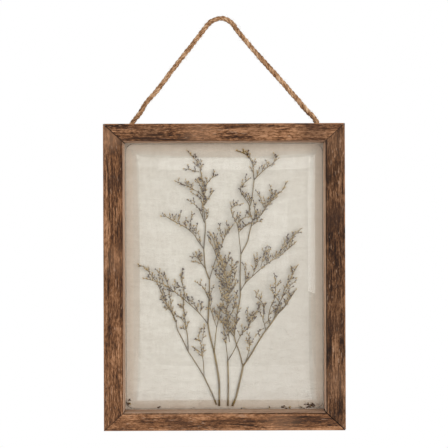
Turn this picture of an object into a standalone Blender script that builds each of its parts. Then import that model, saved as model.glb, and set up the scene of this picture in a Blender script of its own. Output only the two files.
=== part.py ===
"""Pressed flower frame: a mitred wooden frame with domed glass, dried sprigs and a rope to hang it by.

Metres, +Z up, the front faces -Y. The origin is the underside of the rope's top, where a nail goes.
"""
import math

import bmesh
import bpy
from mathutils import Matrix, Vector

MM = 0.001
GAP = 0.3 * MM

# The frame
FRAME_WIDTH = 300 * MM
FRAME_HEIGHT = 381 * MM
SIDE_RAIL_WIDTH = 24.5 * MM
END_RAIL_WIDTH = 22.3 * MM
FRONT_Y = -31 * MM
BACK_Y = 8 * MM
LIP_DEPTH = 18 * MM
LIP_WIDTH = 6.5 * MM
ARRIS = 0.8 * MM
FRAME_TOP = -135.8 * MM

FRAME_CENTRE_Z = FRAME_TOP - FRAME_HEIGHT / 2
OPENING_HALF_WIDTH = FRAME_WIDTH / 2 - SIDE_RAIL_WIDTH
OPENING_HALF_HEIGHT = FRAME_HEIGHT / 2 - END_RAIL_WIDTH
LIP_BACK_Y = FRONT_Y + LIP_DEPTH

# What lies in the rabbet, from front to back
PANE_CLEARANCE = 1 * MM
PANE_HALF_WIDTH = OPENING_HALF_WIDTH + LIP_WIDTH - PANE_CLEARANCE
PANE_HALF_HEIGHT = OPENING_HALF_HEIGHT + LIP_WIDTH - PANE_CLEARANCE
GLASS_THICKNESS = 2 * MM
SHEET_THICKNESS = 1 * MM
BOARD_THICKNESS = 3 * MM
GLASS_FRONT_Y = LIP_BACK_Y + GAP
GLASS_BACK_Y = GLASS_FRONT_Y + GLASS_THICKNESS
SHEET_FRONT_Y = GLASS_BACK_Y + GAP
SHEET_BACK_Y = SHEET_FRONT_Y + SHEET_THICKNESS
BOARD_FRONT_Y = SHEET_BACK_Y + GAP
BOARD_BACK_Y = BOARD_FRONT_Y + BOARD_THICKNESS

# The dome of the glass
DOME_RISE = 12 * MM
DOME_FLATNESS = 10
DOME_MARGIN = 1 * MM
DOME_HALF_WIDTH = OPENING_HALF_WIDTH - DOME_MARGIN
DOME_HALF_HEIGHT = OPENING_HALF_HEIGHT - DOME_MARGIN
DOME_COLUMNS = 12
DOME_ROWS = 16

# Framer's points
POINT_WIDTH = 10 * MM
POINT_LENGTH = 14 * MM
POINT_THICKNESS = 0.8 * MM
POINT_BITE = 5 * MM
POINT_Y = BOARD_BACK_Y + GAP + POINT_THICKNESS / 2
SIDE_POINT_RISE = 90 * MM

# The rope and its holes
ROPE_DIAMETER = 6.5 * MM
ROPE_HOLE_RADIUS = 4.1 * MM
ROPE_MOUTH_RADIUS = 7.5 * MM
ROPE_MOUTH_DEPTH = 7 * MM
ROPE_LEFT_X = -121.5 * MM
ROPE_RIGHT_X = 121.5 * MM
KNOT_HALF_WIDTH = 6.5 * MM
KNOT_HALF_DEPTH = 5.2 * MM
KNOT_HALF_HEIGHT = 6 * MM
ROPE_HOLE_END_Z = FRAME_TOP - END_RAIL_WIDTH + LIP_WIDTH
KNOT_CENTRE_Z = ROPE_HOLE_END_Z - GAP - KNOT_HALF_HEIGHT
ROPE_POINT_SPACING = 2 * ROPE_DIAMETER

# Route of the rope's middle line in millimetres: across from the frame's middle, up from the frame's top
ROPE_ROUTE = [
    (-121.5, -16), (-121.5, -6), (-119.5, 2), (-114.5, 9), (-108, 17), (-98.7, 32), (-86, 46),
    (-63.6, 75.5), (-39.2, 106.4), (-27, 122), (-17.5, 133.5), (-4, 139), (8.7, 134.5), (17.5, 123.5),
    (27.8, 110.8), (46.9, 88.5), (64, 69.3), (93.7, 35.3), (106.4, 20.4), (115.5, 11), (119.8, 3),
    (121.5, -6), (121.5, -16),
]

# The sprigs: the foot of the bunch, and the depth of the layers the stems lie in
BUNCH_FOOT_Z = FRAME_TOP - FRAME_HEIGHT + 24 * MM
LAYER_FIRST = 1.4 * MM
LAYER_PITCH = 2.9 * MM
HEAD_HALF_THICKNESS = 1.1 * MM
STEM_SIDES = 6
STEPS_PER_SPAN = 2

# Stems in millimetres: layer, radius at the foot, radius at the top, then the route from the bunch's foot
STEMS = {
    "sprig_a_stem": (0, 0.6, 0.5, [(-10.5, 4), (-17, 20), (-26, 39)]),
    "sprig_a_upper_stem": (0, 0.5, 0.45, [(-26.3, 40), (-35, 54), (-46, 71)]),
    "sprig_b_stem": (0, 0.95, 0.9, [(-7, 3), (-7, 29), (-9, 46), (-13, 69)]),
    "sprig_b_middle_stem": (0, 0.9, 0.85, [(-13.2, 70), (-18, 89), (-21, 106)]),
    "sprig_b_upper_stem": (0, 0.85, 0.8, [(-21, 107), (-20, 128), (-19, 144), (-19, 162)]),
    "sprig_b_high_stem": (0, 0.8, 0.6, [(-19.2, 163), (-24, 177), (-26, 201)]),
    "sprig_c_stem": (1, 0.6, 0.5, [(-13, 71), (-12, 85), (-10, 101)]),
    "sprig_d_stem": (0, 0.8, 0.7, [(4, 3), (4.5, 30), (4, 59)]),
    "sprig_e_stem": (0, 1.0, 0.9, [(9.5, 3), (14, 13), (18, 29), (22, 46), (23, 52)]),
    "sprig_e_left_stem": (0, 0.7, 0.6, [(21.5, 56.5), (19, 69), (15, 80), (12, 90)]),
    "sprig_e_right_stem": (0, 0.8, 0.6, [(23.8, 53), (32, 65), (39, 77), (49, 93), (58, 105), (68, 119)]),
    "sprig_f_stem": (0, 0.7, 0.65, [(12, 91), (13, 97), (15, 113), (20, 139), (20, 146)]),
    "sprig_f_middle_stem": (0, 0.65, 0.6, [(20, 147), (20, 171), (20.5, 193)]),
    "sprig_f_upper_stem": (0, 0.6, 0.55, [(21, 194), (29, 209), (31, 217), (35, 236)]),
    "sprig_f_high_stem": (0, 0.55, 0.5, [(34.6, 237), (32.5, 251), (35, 263), (37.5, 287)]),
}

# Flowering branches in millimetres: layer, then (across, up, half width) along each branch's middle line
FLOWERING_BRANCHES = {
    "sprig_a_left_flowers": (0, [(-48, 74, 0.6), (-58, 95, 2.5), (-65, 117, 4), (-77, 140, 4), (-85, 158, 1)]),
    "sprig_a_top_flowers": (0, [(-46, 76, 0.6), (-49, 97, 3), (-52, 131, 5), (-53, 172, 1)]),
    "sprig_a_low_flowers": (1, [(-26, 42, 0.6), (-29, 68, 5), (-32, 86, 4), (-26, 103, 1)]),
    "sprig_b_long_flowers": (1, [(-24, 110, 0.6), (-50, 138, 4), (-66, 151, 6), (-95, 176, 6), (-108, 180, 1)]),
    "sprig_b_inner_flowers": (1, [(-18, 165, 0.6), (-11, 180, 3), (-5, 200, 5), (4, 219, 6), (12, 230, 2)]),
    "sprig_b_short_flowers": (1, [(-26, 178, 0.6), (-32, 186, 5), (-41, 191, 1)]),
    "sprig_b_left_flowers": (1, [(-29, 204, 0.6), (-41, 221, 6), (-58, 234, 6), (-76, 244, 1)]),
    "sprig_b_side_flowers": (1, [(-28, 243, 0.6), (-35, 252, 4), (-43, 262, 1)]),
    "sprig_b_upper_side_flowers": (1, [(-29, 266, 0.6), (-40, 276, 5), (-59, 286, 1)]),
    "sprig_b_lower_side_flowers": (1, [(-24, 144, 0.6), (-28, 152, 3), (-36, 159, 1)]),
    "sprig_b_top_flowers": (0, [
        (-26, 202, 0.6), (-24, 225, 3), (-25, 253, 6), (-22, 280, 8), (-30, 303, 4), (-46, 323, 1)]),
    "sprig_c_flowers": (1, [(-10, 102, 0.6), (-9, 112, 5), (-7, 128, 2)]),
    "sprig_d_left_flowers": (1, [(3, 62, 0.6), (2, 80, 3), (0, 99, 2)]),
    "sprig_d_right_flowers": (1, [(5.5, 61, 0.6), (12, 74, 1), (22, 93, 2.5), (33, 111, 5), (44, 127, 1)]),
    "sprig_e_left_flowers": (1, [(10, 92, 0.6), (5, 101, 2.5), (-1, 114, 1)]),
    "sprig_e_low_flowers": (2, [(28, 62, 0.6), (31, 81, 4), (31, 95, 1)]),
    "sprig_e_middle_flowers": (2, [(52, 101, 0.6), (49, 118, 4), (46, 133, 5), (39, 147, 1)]),
    "sprig_e_inner_flowers": (2, [(64, 116, 0.6), (62, 141, 4), (63, 168, 1)]),
    "sprig_e_upper_flowers": (1, [(69, 122, 0.6), (73, 147, 4), (84, 163, 5), (94, 180, 1)]),
    "sprig_e_tip_flowers": (0, [(68.5, 120, 0.6), (78, 134, 4), (91, 148, 1)]),
    "sprig_f_left_flowers": (2, [(20, 196, 0.6), (18, 215, 4), (13, 238, 6), (9, 252, 4), (15, 259, 1)]),
    "sprig_f_mid_right_flowers": (1, [
        (23, 151, 0.6), (35, 166, 5), (48, 177, 8), (64, 190, 8), (80, 202, 6), (87, 218, 5), (97, 227, 1)]),
    "sprig_f_inner_flowers": (1, [(31, 234, 0.6), (27, 230, 3), (21, 226, 1)]),
    "sprig_f_side_flowers": (1, [(31, 255, 0.6), (25, 267, 4), (27, 284, 5), (33, 291, 1)]),
    "sprig_f_right_flowers": (1, [(37.5, 239, 0.6), (47, 248, 5), (56, 260, 8), (68, 272, 6), (79, 284, 1)]),
    "sprig_f_top_flowers": (0, [(38, 289, 0.6), (36, 305, 4), (28, 316, 3), (18, 324, 1)]),
    "sprig_f_top_right_flowers": (1, [(39.5, 291, 0.6), (50, 299, 4), (61, 307, 4), (67, 318, 1)]),
    "centre_flowers_upper": (2, [(0, 146, 4), (1, 158, 11), (-2, 170, 12), (-4, 184, 9), (-2, 192, 4)]),
    "centre_flowers_lower": (2, [(9, 82, 2), (8, 96, 8), (9, 112, 9), (8, 128, 7), (6, 141, 3)]),
}


def clear_scene():
    for obj in list(bpy.data.objects):
        bpy.data.objects.remove(obj)


def material(name, colour, roughness, metallic=0.0):
    mat = bpy.data.materials.new(name)
    mat.use_nodes = True
    shader = mat.node_tree.nodes["Principled BSDF"]
    shader.inputs["Base Color"].default_value = (*colour, 1.0)
    shader.inputs["Roughness"].default_value = roughness
    shader.inputs["Metallic"].default_value = metallic
    return mat


def make_object(name, bm, mat, smooth=False):
    bmesh.ops.recalc_face_normals(bm, faces=bm.faces)
    mesh = bpy.data.meshes.new(name)
    bm.to_mesh(mesh)
    bm.free()
    if smooth:
        mesh.shade_smooth()
        mesh.set_sharp_from_angle(angle=math.radians(40))
    mesh.materials.append(mat)
    obj = bpy.data.objects.new(name, mesh)
    bpy.context.scene.collection.objects.link(obj)
    return obj


def add_box(bm, low, high):
    centre = (Vector(low) + Vector(high)) / 2
    size = Vector(high) - Vector(low)
    matrix = Matrix.Translation(centre) @ Matrix.Diagonal((*size, 1.0))
    bmesh.ops.create_cube(bm, size=1.0, matrix=matrix)


def add_loft(bm, rings, sides):
    """A closed tube through a list of 4x4 matrices, each holding one ring's place, turn and size."""
    start = bmesh.ops.create_circle(bm, cap_ends=True, segments=sides, radius=1.0, matrix=rings[0])
    ring = set(start["verts"])
    edges = list({edge for vert in ring for edge in vert.link_edges})
    for last, following in zip(rings, rings[1:]):
        grown = bmesh.ops.extrude_edge_only(bm, edges=edges)["geom"]
        ring = {item for item in grown if isinstance(item, bmesh.types.BMVert)}
        edges = [e for e in grown if isinstance(e, bmesh.types.BMEdge) and set(e.verts) <= ring]
        bmesh.ops.transform(bm, matrix=following @ last.inverted(), verts=list(ring))
    bmesh.ops.contextual_create(bm, geom=edges)


def smooth_route(points, steps):
    """Points along a smooth curve through the given ones, with the same number of steps in every span."""
    padded = [points[0] * 2 - points[1], *points, points[-1] * 2 - points[-2]]
    route = []
    for before, start, end, after in zip(padded, padded[1:], padded[2:], padded[3:]):
        for step in range(steps):
            t = step / steps
            square = 2 * before - 5 * start + 4 * end - after
            cube = 3 * start - before - 3 * end + after
            route.append(0.5 * (2 * start + (end - before) * t + square * t ** 2 + cube * t ** 3))
    route.append(points[-1])
    return route


def rail(name, length, width, inner_reach, end_reach, turn, mat):
    """One mitred rail. It is made along X above the frame's centre and turned about Y to its side.

    inner_reach is the opening's edge above the centre, end_reach the opening's half length along the rail.
    """
    outer = inner_reach + width
    step = inner_reach + LIP_WIDTH
    outline = [
        (inner_reach + ARRIS, FRONT_Y), (outer - ARRIS, FRONT_Y), (outer, FRONT_Y + ARRIS),
        (outer, BACK_Y), (step, BACK_Y), (step, LIP_BACK_Y), (inner_reach, LIP_BACK_Y),
        (inner_reach, FRONT_Y + ARRIS),
    ]
    bm = bmesh.new()
    corners = [bm.verts.new((-length / 2, y, z)) for z, y in outline]
    face = bm.faces.new(corners)
    grown = bmesh.ops.extrude_face_region(bm, geom=[face])["geom"]
    far = [item for item in grown if isinstance(item, bmesh.types.BMVert)]
    bmesh.ops.translate(bm, vec=(length, 0, 0), verts=far)
    for side in (-1, 1):
        across = Vector((length / 2 - end_reach, 0, width)).normalized()
        normal = Vector((side * across.z, 0, -across.x))
        corner = Vector((side * end_reach, 0, inner_reach)) - normal * GAP / 2
        cut = bmesh.ops.bisect_plane(
            bm, geom=[*bm.verts, *bm.edges, *bm.faces], plane_co=corner, plane_no=normal, clear_outer=True)
        edges = [item for item in cut["geom_cut"] if isinstance(item, bmesh.types.BMEdge)]
        bmesh.ops.contextual_create(bm, geom=edges)
    matrix = Matrix.Translation((0, 0, FRAME_CENTRE_Z)) @ Matrix.Rotation(turn, 4, "Y")
    bmesh.ops.transform(bm, matrix=matrix, verts=bm.verts)
    return make_object(name, bm, mat)


def make_cutter(name, bm):
    cutter = make_object(name, bm, material(name, (0.8, 0.2, 0.2), 0.5))
    cutter.hide_render = True
    cutter.display_type = "WIRE"
    return cutter


def subtract(obj, cutter):
    cut = obj.modifiers.new(cutter.name, "BOOLEAN")
    cut.operation = "DIFFERENCE"
    cut.solver = "EXACT"
    cut.object = cutter


def rope_hole_cutter(name, x):
    """A plain drilled hole whose upper mouth is worn wide."""
    overshoot = 2 * MM
    stations = [
        (ROPE_HOLE_END_Z - overshoot, ROPE_HOLE_RADIUS),
        (FRAME_TOP - ROPE_MOUTH_DEPTH, ROPE_HOLE_RADIUS),
        (FRAME_TOP - ROPE_MOUTH_DEPTH / 2, ROPE_HOLE_RADIUS * 1.2),
        (FRAME_TOP, ROPE_MOUTH_RADIUS),
        (FRAME_TOP + overshoot, ROPE_MOUTH_RADIUS),
    ]
    rings = [Matrix.Translation((x, 0, z)) @ Matrix.Diagonal((r, r, 1, 1)) for z, r in stations]
    bm = bmesh.new()
    add_loft(bm, rings, 16)
    return make_cutter(name, bm)


def point_places():
    """Each framer's point: name, its middle on the rabbet wall, and the direction into the wood."""
    wall_x = OPENING_HALF_WIDTH + LIP_WIDTH
    wall_z = OPENING_HALF_HEIGHT + LIP_WIDTH
    centre = Vector((0, POINT_Y, FRAME_CENTRE_Z))
    places = [
        ("point_top", (0, wall_z), (0, 1)),
        ("point_bottom", (0, -wall_z), (0, -1)),
        ("point_upper_left", (-wall_x, SIDE_POINT_RISE), (-1, 0)),
        ("point_lower_left", (-wall_x, -SIDE_POINT_RISE), (-1, 0)),
        ("point_upper_right", (wall_x, SIDE_POINT_RISE), (1, 0)),
        ("point_lower_right", (wall_x, -SIDE_POINT_RISE), (1, 0)),
    ]
    return [(name, centre + Vector((x, 0, z)), Vector((dx, 0, dz))) for name, (x, z), (dx, dz) in places]


def point_box(bm, place, into_wood, clearance):
    """A flat tab, half in the wood. With clearance it is the slot that the tab sits in."""
    along = Vector((abs(into_wood.z), 0, abs(into_wood.x)))
    half = along * (POINT_WIDTH / 2 + clearance) + Vector((0, POINT_THICKNESS / 2 + clearance, 0))
    deep = place + into_wood * (POINT_BITE + clearance)
    free = place - into_wood * (POINT_LENGTH - POINT_BITE)
    low = Vector([min(a, b) for a, b in zip(deep, free)]) - half
    high = Vector([max(a, b) for a, b in zip(deep, free)]) + half
    add_box(bm, low, high)


def make_frame(wood, steel):
    height_half = OPENING_HALF_HEIGHT
    width_half = OPENING_HALF_WIDTH
    end_rail = (FRAME_WIDTH, END_RAIL_WIDTH, height_half, width_half)
    side_rail = (FRAME_HEIGHT, SIDE_RAIL_WIDTH, width_half, height_half)
    rails = {
        "top": rail("rail_top", *end_rail, 0, wood),
        "bottom": rail("rail_bottom", *end_rail, math.pi, wood),
        "left": rail("rail_left", *side_rail, -math.pi / 2, wood),
        "right": rail("rail_right", *side_rail, math.pi / 2, wood),
    }
    subtract(rails["top"], rope_hole_cutter("left_hole_cutter", ROPE_LEFT_X))
    subtract(rails["top"], rope_hole_cutter("right_hole_cutter", ROPE_RIGHT_X))
    for name, place, into_wood in point_places():
        tab = bmesh.new()
        point_box(tab, place, into_wood, 0)
        make_object(name, tab, steel)
        slot = bmesh.new()
        point_box(slot, place, into_wood, GAP)
        subtract(rails[name.split("_")[-1]], make_cutter(name + "_slot_cutter", slot))


def dome_height(x, z):
    """Rise of the glass above its rim, x and z from the pane's centre."""
    across = min(abs(x) / DOME_HALF_WIDTH, 1)
    up = min(abs(z) / DOME_HALF_HEIGHT, 1)
    return DOME_RISE * (1 - across ** DOME_FLATNESS) * (1 - up ** DOME_FLATNESS)


def grid_places(count, dome_half, pane_half):
    """Grid lines from edge to edge: the rim's edge, the dome's foot, then lines that crowd near the foot."""
    inner = [dome_half * math.sin(math.pi * (i / (count - 2) - 0.5)) for i in range(count - 1)]
    return [-pane_half, *inner, pane_half]


def make_glass(mat):
    columns = grid_places(DOME_COLUMNS, DOME_HALF_WIDTH, PANE_HALF_WIDTH)
    rows = grid_places(DOME_ROWS, DOME_HALF_HEIGHT, PANE_HALF_HEIGHT)
    bm = bmesh.new()
    bmesh.ops.create_grid(bm, x_segments=DOME_COLUMNS, y_segments=DOME_ROWS, size=1.0)
    for vert in bm.verts:
        x = columns[round((vert.co.x + 1) / 2 * DOME_COLUMNS)]
        z = rows[round((vert.co.y + 1) / 2 * DOME_ROWS)]
        vert.co = Vector((x, GLASS_FRONT_Y - dome_height(x, z), FRAME_CENTRE_Z + z))
    grown = bmesh.ops.extrude_face_region(bm, geom=list(bm.faces))["geom"]
    back = [item for item in grown if isinstance(item, bmesh.types.BMVert)]
    bmesh.ops.translate(bm, vec=(0, GLASS_THICKNESS, 0), verts=back)
    make_object("domed_glass", bm, mat, smooth=True)


def make_panel(name, front_y, back_y, mat):
    bm = bmesh.new()
    low = (-PANE_HALF_WIDTH, front_y, FRAME_CENTRE_Z - PANE_HALF_HEIGHT)
    high = (PANE_HALF_WIDTH, back_y, FRAME_CENTRE_Z + PANE_HALF_HEIGHT)
    add_box(bm, low, high)
    make_object(name, bm, mat)


def branch_rings(stations, layer):
    """Ring matrices along a branch. stations are (across, up, half width, half thickness) in millimetres."""
    y = SHEET_FRONT_Y - LAYER_FIRST - layer * LAYER_PITCH
    four = smooth_route([Vector(station) for station in stations], STEPS_PER_SPAN)
    places = [Vector((v[0] * MM, y, BUNCH_FOOT_Z + v[1] * MM)) for v in four]
    rings = []
    for index, (place, values) in enumerate(zip(places, four)):
        ahead = places[min(index + 1, len(places) - 1)]
        behind = places[max(index - 1, 0)]
        forward = (ahead - behind).normalized()
        side = forward.cross(Vector((0, 1, 0)))
        columns = (side * values[2] * MM, Vector((0, values[3] * MM, 0)), forward)
        rings.append(Matrix.Translation(place) @ Matrix(columns).transposed().to_4x4())
    return rings


def make_sprigs(stem_mat, flower_mat):
    for name, (layer, foot_radius, top_radius, route) in STEMS.items():
        radii = [foot_radius + (top_radius - foot_radius) * i / (len(route) - 1) for i in range(len(route))]
        stations = [(x, z, r, r) for (x, z), r in zip(route, radii)]
        bm = bmesh.new()
        add_loft(bm, branch_rings(stations, layer), STEM_SIDES)
        make_object(name, bm, stem_mat, smooth=True)
    thickness = HEAD_HALF_THICKNESS / MM
    for name, (layer, route) in FLOWERING_BRANCHES.items():
        stations = [(x, z, width, min(thickness, 0.4 + width / 2)) for x, z, width in route]
        bm = bmesh.new()
        add_loft(bm, branch_rings(stations, layer), STEM_SIDES)
        make_object(name, bm, flower_mat, smooth=True)


def spaced_points(route, spacing):
    """Points at an even spacing along a fine route."""
    lengths = [(b - a).length for a, b in zip(route, route[1:])]
    count = round(sum(lengths) / spacing)
    even = sum(lengths) / count
    points = [route[0]]
    walked = 0.0
    for start, end, length in zip(route, route[1:], lengths):
        while walked + length >= even * len(points) and len(points) < count:
            points.append(start.lerp(end, (even * len(points) - walked) / length))
        walked += length
    return [*points, route[-1]]


def make_rope(mat):
    fine_steps = 24
    chosen = [Vector((x * MM, 0, FRAME_TOP + z * MM)) for x, z in ROPE_ROUTE]
    chosen[0].z = KNOT_CENTRE_Z + KNOT_HALF_HEIGHT + GAP
    chosen[-1].z = KNOT_CENTRE_Z + KNOT_HALF_HEIGHT + GAP
    points = spaced_points(smooth_route(chosen, fine_steps), ROPE_POINT_SPACING)
    curve = bpy.data.curves.new("hanging_rope", "CURVE")
    curve.dimensions = "3D"
    curve.bevel_depth = ROPE_DIAMETER / 2
    curve.bevel_resolution = 2
    curve.use_fill_caps = True
    spline = curve.splines.new("POLY")
    spline.points.add(len(points) - 1)
    for target, point in zip(spline.points, points):
        target.co = (*point, 1.0)
    curve.materials.append(mat)
    obj = bpy.data.objects.new("hanging_rope", curve)
    bpy.context.scene.collection.objects.link(obj)


def make_knot(name, x, mat):
    size = Matrix.Diagonal((KNOT_HALF_WIDTH, KNOT_HALF_DEPTH, KNOT_HALF_HEIGHT, 1))
    matrix = Matrix.Translation((x, 0, KNOT_CENTRE_Z)) @ size
    bm = bmesh.new()
    bmesh.ops.create_uvsphere(bm, u_segments=10, v_segments=6, radius=1.0, matrix=matrix)
    make_object(name, bm, mat, smooth=True)


def main():
    clear_scene()
    make_frame(material("wood", (0.17, 0.085, 0.045), 0.6), material("steel", (0.5, 0.5, 0.5), 0.4, 1.0))
    make_glass(material("glass", (0.85, 0.9, 0.88), 0.05))
    make_panel("mount_sheet", SHEET_FRONT_Y, SHEET_BACK_Y, material("paper", (0.62, 0.53, 0.44), 0.9))
    make_panel("back_board", BOARD_FRONT_Y, BOARD_BACK_Y, material("board", (0.35, 0.25, 0.16), 0.85))
    make_sprigs(material("stem", (0.2, 0.14, 0.07), 0.8), material("flower", (0.32, 0.22, 0.15), 0.9))
    rope = material("rope", (0.38, 0.24, 0.13), 0.95)
    make_rope(rope)
    make_knot("knot_left", ROPE_LEFT_X, rope)
    make_knot("knot_right", ROPE_RIGHT_X, rope)


main()
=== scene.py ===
# %% [markdown]
# # A pressed flower frame
# A mitred frame of weathered wood holds a domed pane. Behind the pane, sprigs of dried sea lavender lie on
# a sheet of handmade paper, and a jute rope through the top rail hangs it all from a nail.
# The lesson goes in the order of the work: camera, rope, frame, glass, paper, sprigs, light. The sizes of
# the wood and the glass come first from the fixed model, so that every new piece lies where its solid lies.

# %% Load the fixed model
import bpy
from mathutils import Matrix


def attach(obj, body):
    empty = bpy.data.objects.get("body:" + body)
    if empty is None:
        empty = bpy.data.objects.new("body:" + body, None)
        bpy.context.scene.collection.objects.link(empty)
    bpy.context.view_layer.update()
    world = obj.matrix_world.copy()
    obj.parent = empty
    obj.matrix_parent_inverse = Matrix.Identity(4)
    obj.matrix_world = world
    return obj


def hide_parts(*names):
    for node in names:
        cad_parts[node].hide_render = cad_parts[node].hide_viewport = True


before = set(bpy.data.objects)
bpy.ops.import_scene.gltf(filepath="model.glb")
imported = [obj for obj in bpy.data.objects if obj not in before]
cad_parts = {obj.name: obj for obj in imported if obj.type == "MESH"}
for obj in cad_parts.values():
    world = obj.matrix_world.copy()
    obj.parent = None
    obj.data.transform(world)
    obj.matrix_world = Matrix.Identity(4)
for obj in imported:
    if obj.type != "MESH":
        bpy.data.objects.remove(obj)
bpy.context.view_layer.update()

import math
import random

import bmesh
import bpy
import numpy as np
from mathutils import Matrix, Vector, noise

MM = 0.001

# %% [markdown]
# ## The camera
# The frame is seen straight on, level with a point between its middle and the rope. A lens of 55 mm takes
# in frame and rope from 88 cm away without bending the straight rails. The camera is rolled by a fifth of
# a degree, so that the frame hangs very slightly askew in the view.

# %% Place the camera
CAMERA_PLACE = (-0.00025, -0.881, -0.2606)
CAMERA_ROLL = math.radians(0.2)
camera_data = bpy.data.cameras.new("camera")
camera_data.lens = 55.2
camera_data.sensor_width = 36
camera = bpy.data.objects.new("camera", camera_data)
camera.location = CAMERA_PLACE
camera.rotation_euler = (math.radians(90), CAMERA_ROLL, 0)
bpy.context.scene.collection.objects.link(camera)
bpy.context.scene.camera = camera
bpy.context.scene.view_settings.view_transform = "Standard"
print("camera", tuple(camera.location), "lens", camera_data.lens)

# %% [markdown]
# ## Lines and tubes
# Ropes, stems and twigs are all tubes along a line. A tube could be a curve with a bevel, but here its
# surface changes along the way: yarns, swellings, tapers. So a flat grid is laid round the line, its two
# long edges are merged, and its ends are closed. A value stored at each vertex tells the material where
# it is on the piece.

# %% Helpers for lines and tubes
def smooth_route(points, steps):
    """Points along a smooth curve through the given ones, with the same number of steps in every span."""
    padded = [points[0] * 2 - points[1], *points, points[-1] * 2 - points[-2]]
    route = []
    for before, start, end, after in zip(padded, padded[1:], padded[2:], padded[3:]):
        for step in range(steps):
            t = step / steps
            square = 2 * before - 5 * start + 4 * end - after
            cube = 3 * start - before - 3 * end + after
            route.append(0.5 * (2 * start + (end - before) * t + square * t ** 2 + cube * t ** 3))
    route.append(points[-1])
    return route


def walked_lengths(line):
    """How far along the line each of its points is."""
    return np.concatenate([[0], np.cumsum(np.linalg.norm(np.diff(line, axis=0), axis=1))])


def even_line(points, spacing):
    """The same line with points at an even spacing, as an array."""
    line = np.array([tuple(point) for point in points])
    walked = walked_lengths(line)
    stops = np.linspace(0, walked[-1], max(3, round(walked[-1] / spacing) + 1))
    return np.stack([np.interp(stops, walked, line[:, axis]) for axis in range(3)], axis=1)


def unit(vectors):
    return vectors / np.linalg.norm(vectors, axis=-1, keepdims=True)


def directions(line):
    return unit(np.gradient(line, axis=0))


def round_surface(line, radii, sides, out=None):
    """Rings of points round a line, as an array of rings x sides x 3. out is each ring's first direction."""
    forward = directions(line)
    if out is None:
        out = np.tile((0.0, 1.0, 0.0), (len(line), 1))
    side = unit(np.cross(forward, out))
    out = np.cross(side, forward)
    angles = np.arange(sides) * 2 * math.pi / sides
    spread = np.cos(angles)[None, :, None] * out[:, None] + np.sin(angles)[None, :, None] * side[:, None]
    radii = np.asarray(radii, dtype=float)
    radii = radii[:, None] if radii.ndim == 1 else radii
    return line[:, None] + spread * radii[:, :, None]


def add_wrapped(bm, surface, **values):
    """Lay a grid over a rings x sides surface, merge its seam, close its ends and store the values."""
    rings, sides = surface.shape[:2]
    stores = bm.verts.layers
    kinds = {
        name: stores.float_vector if value.ndim == 3 else stores.float for name, value in values.items()}
    for name, kind in kinds.items():
        if name not in kind.keys():
            kind.new(name)
    layers = {name: kind[name] for name, kind in kinds.items()}
    grid = bmesh.ops.create_grid(bm, x_segments=sides, y_segments=rings - 1, size=0.5)["verts"]
    seam = []
    for vert in grid:
        column = round((vert.co.x + 0.5) * sides)
        row = round((vert.co.y + 0.5) * (rings - 1))
        vert.co = surface[row, column % sides]
        for name, layer in layers.items():
            vert[layer] = values[name][row, column % sides]
        if column in (0, sides):
            seam.append(vert)
    open_ends = [edge for vert in grid for edge in vert.link_edges if edge.is_boundary]
    bmesh.ops.remove_doubles(bm, verts=seam, dist=1e-7)
    edges = {edge for edge in open_ends if edge.is_valid and edge.is_boundary}
    bmesh.ops.holes_fill(bm, edges=list(edges), sides=0)


# %% [markdown]
# ## From mesh to piece
# Every finished piece stays at the origin with its place in its mesh, rides on the body of the frame and
# stands for one or more of the fixed solids. One helper does this the same way for all of them.

# %% Helpers that finish a piece
def mesh_from(name, bm, outward=True):
    if outward:
        bmesh.ops.recalc_face_normals(bm, faces=bm.faces)
    mesh = bpy.data.meshes.new(name)
    bm.to_mesh(mesh)
    bm.free()
    return mesh


def finish_piece(name, shape, materials, stands_for=(), sharp=40):
    """Give a mesh or a bmesh its materials, bind it to the frame and return its object."""
    mesh = mesh_from(name, shape) if isinstance(shape, bmesh.types.BMesh) else shape
    for material in materials:
        mesh.materials.append(material)
    mesh.shade_smooth()
    mesh.set_sharp_from_angle(angle=math.radians(sharp))
    piece = bpy.data.objects.new(name, mesh)
    bpy.context.scene.collection.objects.link(piece)
    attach(piece, "root")
    if stands_for:
        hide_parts(*stands_for)
    return piece


# %% [markdown]
# ## Helpers for materials
# A material is a small network of nodes. Patterns that more than one material needs are node groups with
# named inputs and outputs, so that each material sets its own values. All patterns are made in
# millimetres: a Mapping node turns metres of the Object coordinates into counts per millimetre.

# %% Helpers for nodes
def add_node(tree, kind, inputs=None, **settings):
    """A node with its settings, and its inputs given as values or linked from other nodes' outputs."""
    made = tree.nodes.new(kind)
    for setting, value in settings.items():
        setattr(made, setting, value)
    for socket, value in (inputs or {}).items():
        if isinstance(value, bpy.types.NodeSocket):
            tree.links.new(value, made.inputs[socket])
        else:
            made.inputs[socket].default_value = value
    return made


def maths(tree, operation, first, second=0.0, third=0.0):
    inputs = {0: first, 1: second, 2: third}
    return add_node(tree, "ShaderNodeMath", inputs, operation=operation).outputs[0]


def product(tree, first, second):
    return maths(tree, "MULTIPLY", first, second)


def weighed(tree, *shares):
    """The sum of (value, weight) pairs, each value times its weight."""
    total = 0.0
    for value, weight in shares:
        total = maths(tree, "MULTIPLY_ADD", value, weight, total)
    return total


def mixed(tree, factor, first, second):
    """The first colour, turned into the second by a factor. A colour is a tuple or an output."""
    inputs = {0: factor}
    for socket, colour in ((6, first), (7, second)):
        inputs[socket] = (*colour, 1) if isinstance(colour, tuple) else colour
    return add_node(tree, "ShaderNodeMix", inputs, data_type="RGBA").outputs[2]


def faded(tree, value, low, high, to_low=0.0, to_high=1.0):
    """The value spread smoothly from low..high onto to_low..to_high."""
    inputs = {0: value, 1: low, 2: high, 3: to_low, 4: to_high}
    return add_node(tree, "ShaderNodeMapRange", inputs, interpolation_type="SMOOTHSTEP").outputs[0]


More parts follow.
